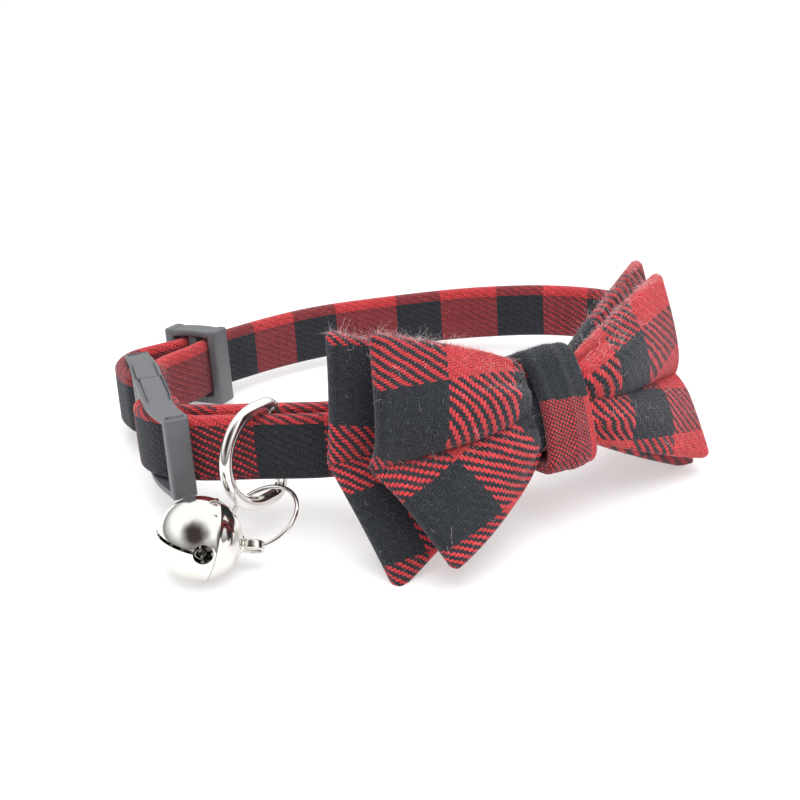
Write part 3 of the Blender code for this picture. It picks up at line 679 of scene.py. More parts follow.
def make_strap():
    line = strap_line(STRAP_STEP)
    plan = np.array([tuple(p) for p in line])
    run = np.concatenate([[0.0], np.cumsum(np.linalg.norm(np.diff(plan, axis=0), axis=1))])
    out = plan_normals(plan)
    section = round_section(STRAP_THICKNESS, STRAP_WIDTH, STRAP_CORNER, SECTION_CORNER_STEPS, 9)
    # from the lower outer corner: up the outer face, over the top, down the inner face
    section = section[::-1] * (1.0, -1.0)
    above_corner = np.abs(section[:, 1] + STRAP_WIDTH / 2 - STRAP_CORNER)
    section = np.roll(section, -int(np.argmin(above_corner - section[:, 0])), 0)
    length = np.linalg.norm(np.diff(np.vstack([section, section[:1]]), axis=0), axis=1)
    around = np.concatenate([[0.0], np.cumsum(length)]) / MM + STRAP_CORNER / MM
    face = 1 - (section[:, 1] / (STRAP_WIDTH / 2)) ** 2
    crown = np.sign(section[:, 0]) * STRAP_CROWN * face
    n, m = len(line), len(section)
    mm_run = run / MM
    ripple = waves(mm_run[:, None], section[None, :, 1] / MM * 2.5, 11, 5.0) * STRAP_RIPPLE
    ripple = ripple * np.sign(section[None, :, 0])
    edge = waves(mm_run[:, None], np.zeros(m)[None, :], 5, 7.0) * STRAP_EDGE_RIPPLE
    offset = section[None, :, 0] + crown[None, :] + ripple
    height = section[None, :, 1] + STRAP_WIDTH / 2 + edge * (section[None, :, 1] / (STRAP_WIDTH / 2))
    x = plan[:, None, 0] + out[:, None, 0] * offset
    y = plan[:, None, 1] + out[:, None, 1] * offset - LOOP_HALF_DEPTH
    flat = np.stack([x, y, height, np.ones_like(x)], -1)
    points = flat @ np.array(COLLAR).T
    weave = np.stack(np.broadcast_arrays(mm_run[:, None], around[None, :]), -1) * STRAP_WEAVE
    check_u = np.interp(mm_run, STRAP_COLUMNS, range(len(STRAP_COLUMNS)))
    check_v = np.interp(around, STRAP_ROWS, range(len(STRAP_ROWS)))
    check = np.stack(np.broadcast_arrays(check_u[:, None], check_v[None, :]), -1)
    return ring_piece("strap_cloth", points[..., :3], strap_cloth, weave, check)


strap = make_strap()

# ---------------------------------------------------------------- bow
strap_front = world(row("front"), STRAP_WIDTH / 2)
bow_up = Vector((0.0, math.sin(BOW_LEAN), math.cos(BOW_LEAN)))
bow_forward = Vector((0.0, -math.cos(BOW_LEAN), math.sin(BOW_LEAN)))
strap_room = (
    STRAP_THICKNESS / 2 + GAP + BOW_CLOTH / 2
    + STRAP_WIDTH / 2 * math.tan(BOW_LEAN - LOOP_TILT)
)
bow_middle = strap_front + Vector((BOW_SHIFT, -strap_room / math.cos(BOW_LEAN), 0.0))
bow_middle += bow_up * KNOT_RISE
UP, FORWARD, MIDDLE = np.array(bow_up), np.array(bow_forward), np.array(bow_middle)


def wing_corner(layer, hand, corner):
    along, forward, up, _ = WING_ENDS[layer + "_" + hand][corner]
    sizes = (BOW_HALF_LENGTH, BOW_HALF_HEIGHT, BOW_HALF_HEIGHT)
    point = MIDDLE + np.array((along, -forward, up)) * sizes
    if layer == "back" and corner == "bottom":
        point[2] = -BOW_CLOTH * CORNER_SINK
    return point


def pinch_line(layer, height):
    half = KNOT_HEIGHT / 2 - KNOT_CLOTH - GAP - BOW_CLOTH_PINCHED / 2
    if layer == "back":
        return MIDDLE + UP * (half * BACK_PINCH * height)[..., None]
    return MIDDLE + FORWARD * BOW_LAYER_SPACE + UP * (half * height)[..., None]


def wing_flat(layer, hand, grow, height):
    """The wing's flat form, from the pinched cloth at the knot to its open end."""
    crease = wing_corner(layer, hand, "crease")
    top, bottom = (wing_corner(layer, hand, corner) for corner in ("top", "bottom"))
    edge = np.where((height >= 0)[..., None], top, bottom)
    start = pinch_line(layer, height)
    start[..., 0] += math.copysign(KNOT_WIDTH / 2 + PINCH_ROOM, top[0] - MIDDLE[0])
    if hand == "left":
        start[..., 0] += LEFT_START
    share = np.abs(height)[..., None]
    return start + (crease + (edge - crease) * share - start) * grow[..., None]


def wing_point(layer, hand, grow, height, ease):
    flat = wing_flat(layer, hand, grow, height)
    crease = wing_corner(layer, hand, "crease")
    level = (np.sqrt(height ** 2 + ease ** 2) - ease) / (math.sqrt(1 + ease ** 2) - ease)
    lobe = np.sin(math.pi * level ** np.where(height > 0, UPPER_SHARPNESS, PLEAT_SHARPNESS))
    swell = PUFF_AT_END * grow ** 0.5 + (1 - PUFF_AT_END) * np.sin(math.pi * grow ** PUFF_NEAR_KNOT)
    puff = WING_PUFF[layer] * (1 + UPPER_PUFF * (height > 0))
    valley = CREASE_DEPTH[layer] * np.exp(-(height ** 2 + ease ** 2) / CREASE_REACH ** 2)
    valley = valley * np.sin(math.pi * np.clip(grow, 0.0, 1.0) ** 0.7) ** 0.8
    point = flat + FORWARD * (puff * lobe * swell - valley)[..., None]
    # the upper lobe hangs over the crease
    hang = np.exp(-((height - OVERHANG_LEVEL) / OVERHANG_REACH) ** 2)
    hang = OVERHANG[layer] * hang * np.sin(math.pi * grow ** 0.8)
    point = point - UP * hang[..., None]
    shape = np.where(height > 0, grow ** UPPER_BEND, grow)
    bow = np.abs(np.sin(math.pi * shape)) ** EDGE_BEND_SHAPE * np.abs(height) * BOW_HALF_HEIGHT
    for corner, chosen in (("top", height >= 0), ("bottom", height < 0)):
        outward = wing_corner(layer, hand, corner) - crease
        outward = unit(outward)
        share = WING_ENDS[layer + "_" + hand][corner][3]
        point = point + outward * (bow * share * chosen)[..., None]
    return point


# in mm
GATHER_DEPTH = 0.42
DENT_DEPTH = 0.20
WING_SEEDS = {"front_left": 3, "front_right": 8, "back_left": 21, "back_right": 34}


def gathers(layer, hand, grow, height):
    """Folds that fan out from the knot and fade, and slow dents further out."""
    seed = WING_SEEDS[layer + "_" + hand]
    fan = np.sin(height * 13.0 + seed) + 0.6 * np.sin(height * 23.0 + seed * 1.7)
    fade = (grow / 0.10) * np.exp(1 - grow / 0.10)
    dents = waves(grow * 33.0, height * 19.0, seed, 5.5)
    quiet = smoothstep(grow / 0.3)
    return (GATHER_DEPTH * fan * fade + DENT_DEPTH * dents * quiet) * MM


GROW_STEPS = 54
ROW_STEPS = 38
RIM_STEPS = 6
INNER_STEPS = 7
# A wing's true length and height, as shares of the bow's half sizes
WING_LENGTH_SHARE = 0.86
WING_HEIGHT_SHARE = 0.95


def rim_levels(length, half, steps):
    """Shares of a run that ends at a rounded rim, and how far round the rim each one is."""
    rim = half / length
    inner = np.linspace(0.0, 1.0 - rim, steps, endpoint=False)
    angle = np.linspace(0.0, math.pi / 2, RIM_STEPS + 1)
    outer = 1.0 - rim + rim * np.sin(angle)
    return np.concatenate([inner, outer]), np.concatenate([np.zeros(steps), np.sin(angle)])


def wing_grid(layer, hand):
    """Middle surface, half thickness, facing and cloth place of one wing, knot to open end."""
    half = BOW_CLOTH / 2
    length, tall = BOW_HALF_LENGTH * WING_LENGTH_SHARE, BOW_HALF_HEIGHT * WING_HEIGHT_SHARE
    grow, grow_rim = rim_levels(length, half, GROW_STEPS)
    level, level_rim = rim_levels(tall, half, ROW_STEPS)
    height = np.concatenate([-level[:0:-1], level])
    height_rim = np.concatenate([level_rim[:0:-1], level_rim])
    grow, height = np.meshgrid(grow, height, indexing="ij")
    grow_rim, height_rim = np.meshgrid(grow_rim, height_rim, indexing="ij")
    reach = np.hypot(grow_rim, height_rim)
    # round off the two open corners
    over = np.maximum(reach, 1.0)
    grow = grow - (grow_rim - grow_rim / over) * half / length
    height = height - np.sign(height) * (height_rim - height_rim / over) * half / tall
    thick = np.sqrt(np.clip(1.0 - np.minimum(reach, 1.0) ** 2, 0.0, 1.0))
    grow, height = grow * TRIM, height * TRIM
    point = wing_point(layer, hand, grow, height, 0.02)
    eased = wing_point(layer, hand, grow, height, 0.10)
    facing = unit(np.cross(np.gradient(eased, axis=0), np.gradient(eased, axis=1)))
    facing = np.where((facing @ FORWARD)[..., None] < 0, -facing, facing)
    point = point + FORWARD * gathers(layer, hand, grow, height)[..., None]
    from_middle = np.abs(point[..., 0] - MIDDLE[0])
    open_share = np.clip((from_middle - KNOT_WIDTH / 2) / (KNOT_WIDTH / 2), 0.0, 1.0)
    thick = thick * (BOW_CLOTH_PINCHED + (BOW_CLOTH - BOW_CLOTH_PINCHED) * open_share) / 2
    flat = wing_flat(layer, hand, grow, height) / MM
    cloth_place = np.zeros(grow.shape + (2,))
    weave = np.zeros(grow.shape + (2,))
    for corner, chosen in (("top", height >= 0), ("bottom", height < 0)):
        axes = CHECK_AXES[(layer, hand, corner)]
        place = np.stack([a * flat[..., 0] + b * flat[..., 2] + c for a, b, c in axes], -1)
        # real lengths on the cloth, so that every lobe has threads of one size
        known = np.column_stack([place[chosen], np.ones(chosen.sum())])
        slopes = np.linalg.lstsq(known, flat[chosen], rcond=None)[0]
        scale = np.linalg.norm(slopes[:2], axis=1)
        cloth_place[chosen] = place[chosen]
        if hand == "right":
            cloth_place[chosen, 0] = np.minimum(cloth_place[chosen, 0], 3 * CHECK - 0.1)
        weave[chosen] = place[chosen] * scale * WEAVE_PITCH.get((layer, hand, corner), (1.0, 1.0))
    # the cloth's real length over the rounded rim, which the flat form leaves out
    for axis, share, sign in ((0, grow_rim, 1.0), (1, height_rim, np.sign(height))):
        way = unit(np.gradient(weave, axis=axis))
        extra = half / MM * (np.arcsin(np.minimum(share, 1.0)) - share) * sign
        weave = weave + way * extra[..., None]
    return point, thick, facing, weave, cloth_place / CHECK


def make_layer(layer):
    left = wing_grid(layer, "left")
    right = wing_grid(layer, "right")
    shares = np.linspace(0.0, 1.0, INNER_STEPS + 2)[1:-1]
    fields = []
    for a, b in zip(left, right):
        middle = [a[0] + (b[0] - a[0]) * s for s in shares]
        fields.append(np.concatenate([a[::-1], np.array(middle), b]))
    point, thick, facing, weave, check = fields
    facing = unit(facing)
    front = point + facing * thick[..., None]
    back = point - facing * thick[..., None]
    n, m = thick.shape
    index = np.arange(n * m).reshape(n, m)
    back_index = index.copy()
    inner = np.zeros((n, m), bool)
    inner[1:-1, 1:-1] = True
    back_index[inner] = n * m + np.arange(inner.sum())
    verts = np.concatenate([front.reshape(-1, 3), back[inner]])
    verts[:, 2] = np.maximum(verts[:, 2], 0.00001)
    faces, corners = [], []
    for i in range(n - 1):
        for j in range(m - 1):
            keys = ((i, j), (i + 1, j), (i + 1, j + 1), (i, j + 1))
            faces.append(tuple(int(index[key]) for key in keys))
            faces.append(tuple(int(back_index[key]) for key in keys[::-1]))
            corners += [*keys, *keys[::-1]]
    rows_, cols_ = np.array(corners).T
    uvs = {"weave": weave[rows_, cols_], "check": check[rows_, cols_]}
    return add_piece("bow_" + layer + "_cloth", verts, faces, cloth, uvs)


bow_back = make_layer("back")
bow_front = make_layer("front")

# ---------------------------------------------------------------- knot
KNOT_BEND = 2.6 * MM
KNOT_SHOWN = 9.6 * MM
KNOT_OVER = 0.8 * MM
KNOT_BULGE = 1.2 * MM
KNOT_TURN = math.radians(12.0)
KNOT_DROP = 0.9 * MM
KNOT_STEPS = 26
KNOT_WEAVE = 1.12


def make_knot():
    front = bow_forward * (BOW_LAYER_SPACE + BOW_CLOTH_PINCHED / 2 + GAP + KNOT_CLOTH / 2)
    half = bow_up * (KNOT_HEIGHT - KNOT_CLOTH) / 2
    back_y = strap_front.y + STRAP_THICKNESS / 2 + KNOT_ROOM + KNOT_CLOTH / 2
    rise = STRAP_WIDTH / 2 + KNOT_ROOM + KNOT_CLOTH / 2
    lean = math.tan(LOOP_TILT) * rise
    corners = [
        bow_middle + front - half - bow_up * KNOT_DROP,
        bow_middle + front + half,
        Vector((bow_middle.x, back_y + lean, strap_front.z + rise)),
        Vector((bow_middle.x, back_y - lean, strap_front.z - rise)),
    ]
    path = []
    for index, corner in enumerate(corners):
        before = (corners[index - 1] - corner).normalized()
        after = (corners[(index + 1) % 4] - corner).normalized()
        bend = KNOT_BEND if index < 2 else KNOT_BEND * 0.5
        for k in range(9):
            s = k / 8
            a = corner + before * bend * (1 - s) ** 2
            path.append(a + after * bend * s ** 2)
    dense = []
    for a, b in zip(path, path[1:] + path[:1]):
        count = max(1, int((b - a).length / (0.45 * MM)))
        dense += [a.lerp(b, k / count) for k in range(count)]
    path = np.array([tuple(p) for p in dense])
    run = np.concatenate([[0.0], np.cumsum(np.linalg.norm(np.diff(path, axis=0), axis=1))]) / MM
    total = run[-1] + np.linalg.norm(path[0] - path[-1]) / MM
    outward = np.cross(unit(np.roll(path, -1, 0) - np.roll(path, 1, 0)), (1.0, 0.0, 0.0))
    centre = path.mean(0)
    if ((path - centre) * outward).sum() < 0:
        outward = -outward
    section = round_section(KNOT_SHOWN, KNOT_CLOTH, KNOT_CLOTH * 0.47, 6, KNOT_STEPS)
    along_front = (path - MIDDLE) @ UP / MM
    on_front = smoothstep(((path - MIDDLE) @ FORWARD / MM - 3.0) / 2.5)
    outer = section[None, :, 1] > 0
    sx = section[None, :, 0] / MM
    # the wrapped cloth narrows a little at its middle and lies in soft upright gathers
    waist = 1.0 - 0.035 * on_front[:, None] * np.cos(along_front[:, None] / 9.5 * math.pi / 2) ** 2
    folds = 0.16 * np.sin(sx * 1.35 + 0.07 * along_front[:, None] + 0.8)
    folds += 0.08 * np.sin(sx * 2.9 - 0.10 * along_front[:, None])
    folds += 0.16 * waves(sx, along_front[:, None], 17, 3.0)
    crown = 0.40 * (1 - (sx / 4.8) ** 2)
    lift = (folds * 0.55 + crown) * on_front[:, None] * outer * MM
    bulge = KNOT_BULGE * on_front * (1 - np.clip((along_front + 1.0) / 9.5, -1, 1) ** 2)
    x = path[:, None, 0] + KNOT_OVER + bulge[:, None] + section[None, :, 0] * waist
    outs = section[None, :, 1] + lift
    y, z = (path[:, None, k] + outward[:, None, k] * outs for k in (1, 2))
    points = np.stack([x, y, z], -1)
    across = np.append(section[:, 0], section[0, 0]) / MM
    thick = np.append(section[:, 1], section[0, 1]) / MM
    flat = np.where(np.abs(across) > 4.0, across + np.sign(across) * (0.8 - thick), across)
    run_closed = np.append(run, total)
    c, s = math.cos(KNOT_TURN), math.sin(KNOT_TURN)
    turned_x = flat[None, :] * c + run_closed[:, None] * s
    turned_y = run_closed[:, None] * c - flat[None, :] * s
    weave = np.stack([turned_x, turned_y], -1) * KNOT_WEAVE
    # charcoal above, and below it stripes and, on the right, plain red
    level = np.append(along_front, along_front[0])
    dark = level[:, None] - 0.9 + flat[None, :] * 0.10 > 0
    check = np.stack([np.where(dark | (flat[None, :] <= 3.2), 1.5, 0.5), np.where(dark, 1.5, 0.5)], -1)
    return ring_piece("bow_knot_cloth", points, knot_cloth, weave, check, closed=True)


knot = make_knot()


# ---------------------------------------------------------------- plastic
def rail(name, spine, widths, low, high, groove):
    """A flat rail along a plan line, with two shallow grooves in its upper face."""
    plan = np.array([tuple(p) for p in spine])
    out = plan_normals(plan)
    sections = []
    for index, (point, normal, width) in enumerate(zip(plan, out, widths)):
        share = index / (len(plan) - 1)
        deep = groove * float(1 - smoothstep((share - 0.45) / 0.2))
        half = width / 2
        c = 0.42 * width
        floor_a, floor_b = high - deep, high - deep * 0.8
        profile = [
            (-half, low), (half, low), (half, high),
            (c + 0.20 * MM, high), (c + 0.12 * MM, floor_a),
            (c - 0.12 * MM, floor_a), (c - 0.20 * MM, high),
            (-0.30 * width, high), (-0.32 * width, floor_b),
            (-0.38 * width, floor_b), (-0.40 * width, high), (-half, high),
        ]
        sections.append([
            tuple(world(Vector(point + normal * across), height)) for across, height in profile
        ])
    return ring_piece(name, np.array(sections), plastic)


def block(name, middle, along, length, width, low, high, edge):
    """An upright box in the collar's frame, with rounded edges."""
    across = side(along)
    corners = [middle + along * a * length / 2 + across * b * width / 2
               for a, b in ((-1, -1), (1, -1), (1, 1), (-1, 1))]
    sections = np.array([[tuple(world(c, level)) for c in corners] for level in (low, high)])
    made = ring_piece(name, sections, plastic)
    soften(made, edge, 3, 30.0)
    return made


def pin(name, place, radius, low, high):
    sections = []
    for level in (low, high):
        sections.append([
            tuple(world(place + heading(math.tau * k / 32) * radius, level)) for k in range(32)
        ])
    return ring_piece(name, np.array(sections), plastic)


def make_buckle_half(name, bar, spine, end, narrow):
    low = (STRAP_WIDTH - BUCKLE_HEIGHT) / 2
    high = low + BUCKLE_HEIGHT
    line = smooth(spine, 0.5 * MM)
    shares = np.linspace(0.0, 1.0, len(line))
    widths = BUCKLE_THICKNESS * (1 - (1 - narrow) * smoothstep((shares - 0.35) / 0.6))
    lift = STRAP_WIDTH + GAP
    pieces = [
        rail(name + "_upper", line, widths, lift, high, 0.55 * MM),
        rail(name + "_lower", line, widths, low, -GAP, 0.0),
    ]
    for item in pieces:
        soften(item, 0.22 * MM, 2, 35.0)
    inward = (spine[-1] - spine[0]).normalized()
    core = spine[0] + inward * BUCKLE_CORE / 2
    pieces.append(block(name + "_core", core, inward, BUCKLE_CORE, BUCKLE_THICKNESS * 0.98,
                        low + 0.2 * MM, high - 0.7 * MM, 0.3 * MM))
    pieces.append(pin(name + "_bar", bar, BUCKLE_BAR_RADIUS, -GAP, lift))
    along = (line[-1] - line[-3]).normalized()
    pieces.append(block(name + "_post", end - along * BUCKLE_END_BAR * 0.35, along, BUCKLE_END_BAR,
                        BUCKLE_THICKNESS * narrow, low, high, 0.45 * MM))
    return join_pieces(name + "_body", pieces)


split = far_bar * 0.5 + near_bar * 0.5
far_spine = [split + buckle_axis * GAP / 2, far_bar, at(FAR_END_PLACE)]
near_spine = [split - buckle_axis * GAP / 2, near_bar, at(NEAR_BEND_PLACE), at(NEAR_END_PLACE)]
buckle_far = make_buckle_half("buckle_far", far_bar, far_spine, at(FAR_END_PLACE), 0.85)
buckle_near = make_buckle_half("buckle_near", near_bar, near_spine, at(NEAR_END_PLACE), 0.80)


def make_slider():
    low = (STRAP_WIDTH - SLIDER_HEIGHT) / 2
    high = low + SLIDER_HEIGHT
    pieces = []
    reach = SLIDER_LENGTH / 2
    for name, shift, tall in (("slider_a", -reach + SLIDER_BAR / 2, 1.0),
                              ("slider_b", 0.0, 0.8), ("slider_c", reach - SLIDER_BAR / 2, 1.0)):
        cut_back = (1 - tall) * SLIDER_HEIGHT / 4
        pieces.append(block(name, slider_middle + slider_in * shift, slider_in, SLIDER_BAR,
                            SLIDER_THICKNESS * (1.0 if tall == 1.0 else 0.7),
                            low + cut_back, high - cut_back, 0.5 * MM))
    count = 17
    for name, sign in (("slider_top", 1), ("slider_bottom", -1)):
        sections = []
        for k in range(count):
            s = -1 + 2 * k / (count - 1)
            place = slider_middle + slider_in * s * (reach - SLIDER_BAR * 0.4)
            arch = (1 - s * s) * 0.35 * MM if sign > 0 else 0.0
            inner = STRAP_WIDTH + GAP + arch if sign > 0 else low
            outer = high - 0.35 * MM + arch if sign > 0 else -GAP
            half = SLIDER_THICKNESS / 2 * (0.98 - 0.06 * (1 - s * s))
            sections.append([
                tuple(world(place + slider_right * across, level))
                for across, level in ((-half, inner), (half, inner), (half, outer), (-half, outer))
            ])
        item = ring_piece(name, np.array(sections), plastic)
        soften(item, 0.4 * MM, 3, 40.0)
        pieces.append(item)
    return join_pieces("slider_body", pieces)


slider = make_slider()


# ---------------------------------------------------------------- metal
D_RING_HALF = (D_RING_INNER_HEIGHT + D_RING_WIRE) / 2


def d_ring_middle():
    outer = row("ring_left") * (1 - D_RING_ALONG) + row("ring_right") * D_RING_ALONG
    front = (row("ring_right") - row("ring_left")).normalized()
    return outer + side(front) * FOLD_RADIUS


def d_ring_point(out, up):
    level = STRAP_WIDTH + GAP + D_RING_WIRE / 2 - D_RING_HALF
    return world(d_ring_middle() + heading(D_RING_SWING) * out, level + up)


def make_d_ring():
    bend, straight = D_RING_WIRE, D_RING_DEPTH - D_RING_HALF
    inner = D_RING_HALF - bend
    outline = []
    # the upper corner, the round side, the lower corner, and then the straight side
    for x, y, radius, start, turn, count in (
        (bend, inner, bend, math.pi, math.pi / 2, 12),
        (straight, 0.0, D_RING_HALF, math.pi / 2, math.pi, 64),
        (bend, -inner, bend, -math.pi / 2, math.pi / 2, 12),
    ):
        for k in range(count + 1):
            angle = start - turn * k / count
            outline.append((x + radius * math.cos(angle), y + radius * math.sin(angle)))
    outline += [(0.0, -inner + 2 * inner * k / 20) for k in range(1, 20)]
    path = [d_ring_point(*entry) for entry in outline]
    flat = (COLLAR.to_3x3() @ side(heading(D_RING_SWING)).to_3d()).normalized()
    # a drawn wire, pressed a little flat on its faces
    return wire("d_ring_wire", path, circle(D_RING_WIRE / 2, 28, 0.93), flat, nickel)


def ring_frame():
    down = direction(RING_HEADING, -RING_DROP)
    across = direction(RING_ACROSS, RING_ACROSS_RISE)
    across = (across - down * across.dot(down)).normalized()
    hold = d_ring_point(
        D_RING_DEPTH - D_RING_HALF + D_RING_HALF * math.cos(D_RING_HOLD),
        D_RING_HALF * math.sin(D_RING_HOLD),
    )
    return hold + down * JUMP_RING_HANG + across * JUMP_RING_SHIFT, down, across


def make_jump_ring():
    middle, down, across = ring_frame()
    path = []
    for k in range(120):
        angle = math.tau * k / 120
        path.append(middle + (down * math.cos(angle) + across * math.sin(angle)) * JUMP_RING_RADIUS)
    section = circle(JUMP_RING_WIRE / 2, 16)
    return wire("jump_ring_wire", path, section, down.cross(across), nickel)


def upright_to(axis, way):
    return (way - axis * way.dot(axis)).normalized()


def bell_frame():
    middle, down, across = ring_frame()
    loop = middle + down * JUMP_RING_RADIUS + down.cross(across) * BELL_LOOP_REST
    reach = BELL_RADIUS + BELL_LOOP_RADIUS
    rise = math.asin((BELL_RADIUS - loop.z) / reach)
    axis = -direction(BELL_HEADING, rise)
    return loop - axis * reach, axis, upright_to(axis, across)


def turned(name, profile, steps, place, look):
    """A closed profile of (radius, height) turned round the bell's axis."""
    sections = []
    for k in range(steps):
        angle = math.tau * k / steps
        sections.append([
            tuple(place @ Vector((r * math.cos(angle), r * math.sin(angle), z))) for r, z in profile
        ])
    sections = np.array(sections)
    sections[..., 2] = np.maximum(sections[..., 2], 0.01 * MM)
    return ring_piece(name, sections, look, closed=True)


def shell_profile(sign, lip):
    """Half of the bell's section, from the pole to the seam and back inside the wall."""
    outer, inner = [], []
    seam = math.asin((BELL_SEAM + sign * 0.05 * MM) / BELL_RADIUS)
    pole = math.copysign(math.pi / 2, sign)
    count = 40
    for k in range(count + 1):
        share = k / count
        angle = pole + (seam - pole) * share
        near = math.exp(-((angle - seam) / 0.035) ** 2)
        r = BELL_RADIUS + lip * near
        r = max(0.02 * MM, r * math.cos(angle)) if k else 0.02 * MM
        outer.append((r, BELL_RADIUS * math.sin(angle)))
        s = BELL_RADIUS - BELL_WALL
        inner.append((max(0.02 * MM, s * math.cos(angle)) if k else 0.02 * MM, s * math.sin(angle)))
    profile = outer + inner[::-1]
    return profile if sign < 0 else profile[::-1]


def cutter(place, shape, **options):
    """A hidden solid that cuts the bell's shell."""
    bm = bmesh.new()
    shape(bm, **options)
    mesh = bpy.data.meshes.new("cutter")
    bm.to_mesh(mesh)
    bm.free()
    made = show("cutter", mesh)
    made.matrix_world = Matrix.Translation(SHIFT) @ place
    return made


def make_bell():
    middle, axis, loop_way = bell_frame()
    slit_way = upright_to(axis, direction(BELL_SLIT_HEADING, BELL_SLIT_RISE))

    def frame_at(across):
        turned_to = Matrix((across, axis.cross(across), axis)).transposed().to_4x4()
        return Matrix.Translation(middle) @ turned_to

    place = frame_at(slit_way)
    shell = turned("bell_shell_metal", shell_profile(-1, 0.16 * MM), 128, place, bell_metal)
    cap = turned("bell_cap_part", shell_profile(1, 0.10 * MM), 128, place, bell_metal)
    depth = BELL_RADIUS * 2
    slit_end = Vector((0.0, 0.0, -BELL_RADIUS * math.cos(BELL_SLIT_END) - depth / 2))
    slit = Matrix.Translation(slit_end) @ Matrix.Diagonal((depth * 1.1, BELL_SLIT, depth, 1.0))
    cutters = [cutter(place, bmesh.ops.create_cube, size=1.0, matrix=slit)]
    to_pole = Matrix.Translation((0.0, 0.0, -BELL_RADIUS))
    for angle in (BELL_HOLE_ANGLE, -BELL_HOLE_ANGLE):
        cutters.append(cutter(
            place, bmesh.ops.create_cone, cap_ends=True, segments=40, depth=BELL_RADIUS,
            radius1=BELL_HOLE_RADIUS, radius2=BELL_HOLE_RADIUS,
            matrix=Matrix.Rotation(angle, 4, "Y") @ to_pole,
        ))
    for item in cutters:
        boolean = shell.modifiers.new("cut", "BOOLEAN")
        boolean.object = item
        boolean.solver = "EXACT"
    bake(shell)
    for item in cutters:
        bpy.data.objects.remove(item)
    shell.data.set_sharp_from_angle(angle=math.radians(35.0))
    # a bent strip makes the loop, and it widens to a foot on the cap
    loop_place = frame_at(loop_way)
    path = []
    for k in range(72):
        angle = math.tau * k / 72
        z = BELL_RADIUS + BELL_LOOP_RADIUS * 1.02 + BELL_LOOP_RADIUS * math.sin(angle) * 1.06
        path.append(loop_place @ Vector((BELL_LOOP_RADIUS * math.cos(angle), 0.0, z)))
    strip = round_section(0.55 * MM, 1.45 * MM, 0.2 * MM, 4, 3)
    flat = (loop_place.to_3x3() @ Vector((0.0, 1.0, 0.0))).normalized()
    loop = wire("bell_loop_part", path, strip, flat, bell_metal)
    foot = [(0.02 * MM, BELL_RADIUS - 0.3 * MM), (1.5 * MM, BELL_RADIUS - 0.3 * MM)]
    for k in range(9):
        angle = math.pi / 2 * k / 8
        foot.append(((0.9 + 0.6 * math.cos(angle)) * MM, BELL_RADIUS + 0.28 * MM * math.sin(angle)))
    foot.append((0.02 * MM, BELL_RADIUS + 0.28 * MM))
    base = turned("bell_foot_part", foot, 48, loop_place, bell_metal)
    return shell, join_pieces("bell_cap_metal", [cap, loop, base])


def make_ball():
    low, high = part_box("bell_ball")
    centre = (low + high) / 2 - SHIFT
    radius = (high.x - low.x) / 2
    profile = []
    for k in range(25):
        angle = -math.pi / 2 + math.pi * k / 24
        profile.append((max(0.01 * MM, radius * math.cos(angle)), radius * math.sin(angle)))
    return turned("bell_ball_metal", profile, 48, Matrix.Translation(centre), bell_metal)


d_ring = make_d_ring()
jump_ring = make_jump_ring()
bell_shell, bell_cap = make_bell()
bell_ball = make_ball()


# ---------------------------------------------------------------- fibres
def make_fibres(name, target, count, seed, chance, length, curl, look=None, thin=1.0):
    """Short flat fibres that stand on a cloth piece. chance(centre, normal) weighs the faces."""
    rng = np.random.RandomState(seed)
    mesh = target.data
    n = len(mesh.polygons)
    area, centre, normal = np.zeros(n), np.zeros(n * 3), np.zeros(n * 3)
    mesh.polygons.foreach_get("area", area)
    mesh.polygons.foreach_get("center", centre)
    mesh.polygons.foreach_get("normal", normal)
    centre, normal = centre.reshape(-1, 3), normal.reshape(-1, 3)
    weight = area * chance(centre - np.array(SHIFT), normal)
    picked = rng.choice(n, count, p=weight / weight.sum())
    uv_weave, uv_check = (mesh.uv_layers[layer].data for layer in ("weave", "check"))
    verts, faces, weave, check = [], [], [], []
    steps = 4 if look is None else 9
    for index in picked:
        face = mesh.polygons[index]
        corners = [np.array(mesh.vertices[v].co) for v in face.vertices[:4]]
        share = rng.dirichlet(np.ones(len(corners)))
        root = sum(c * s for c, s in zip(corners, share)) - np.array(SHIFT)
        way = normal[index] * rng.uniform(0.35, 1.0) + rng.normal(0, 0.55, 3)
        way /= np.linalg.norm(way)
        bend = rng.normal(0, 1.0, 3)
        bend -= way * bend.dot(way)
        reach = length * rng.uniform(0.35, 1.0) ** 1.5 * MM
        wide = rng.uniform(0.030, 0.055) * thin * MM
        across = np.cross(way, rng.normal(0, 1.0, 3))
        across /= np.linalg.norm(across)
        start = len(verts)
        place = root - way * 0.05 * MM
        for k in range(steps + 1):
            s = k / steps
            verts.append(place + across * wide * (1 - 0.7 * s) / 2)
            verts.append(place - across * wide * (1 - 0.7 * s) / 2)
            turn = way + bend * curl * s + rng.normal(0, 0.25, 3) * (1 + s * (look is not None))
            place = place + turn / np.linalg.norm(turn) * reach / steps
        loop = face.loop_start
        here_weave, here_check = tuple(uv_weave[loop].uv), tuple(uv_check[loop].uv)
        for k in range(steps):
            a = start + 2 * k
            faces.append((a, a + 1, a + 3, a + 2))
            weave += [here_weave] * 4
            check += [here_check] * 4
    verts = np.array(verts)
    verts[:, 2] = np.maximum(verts[:, 2], 0.00003)
    return add_piece(name, verts, faces, look or cloth_fuzz, {"weave": weave, "check": check})


def upward(centre, normal):
    return 0.10 + 0.2 * np.clip(-normal[:, 1], 0, 1) + 3.0 * np.clip(normal[:, 2] - 0.45, 0, 1)


def rims(centre, normal):
    """Mostly the rolled upper edges of the bow, above its middle."""
    high = np.clip((centre[:, 2] - 0.022) / 0.012, 0, 1)
    return 0.01 + high * np.clip(normal[:, 2] - 0.55, 0, 1) * 4


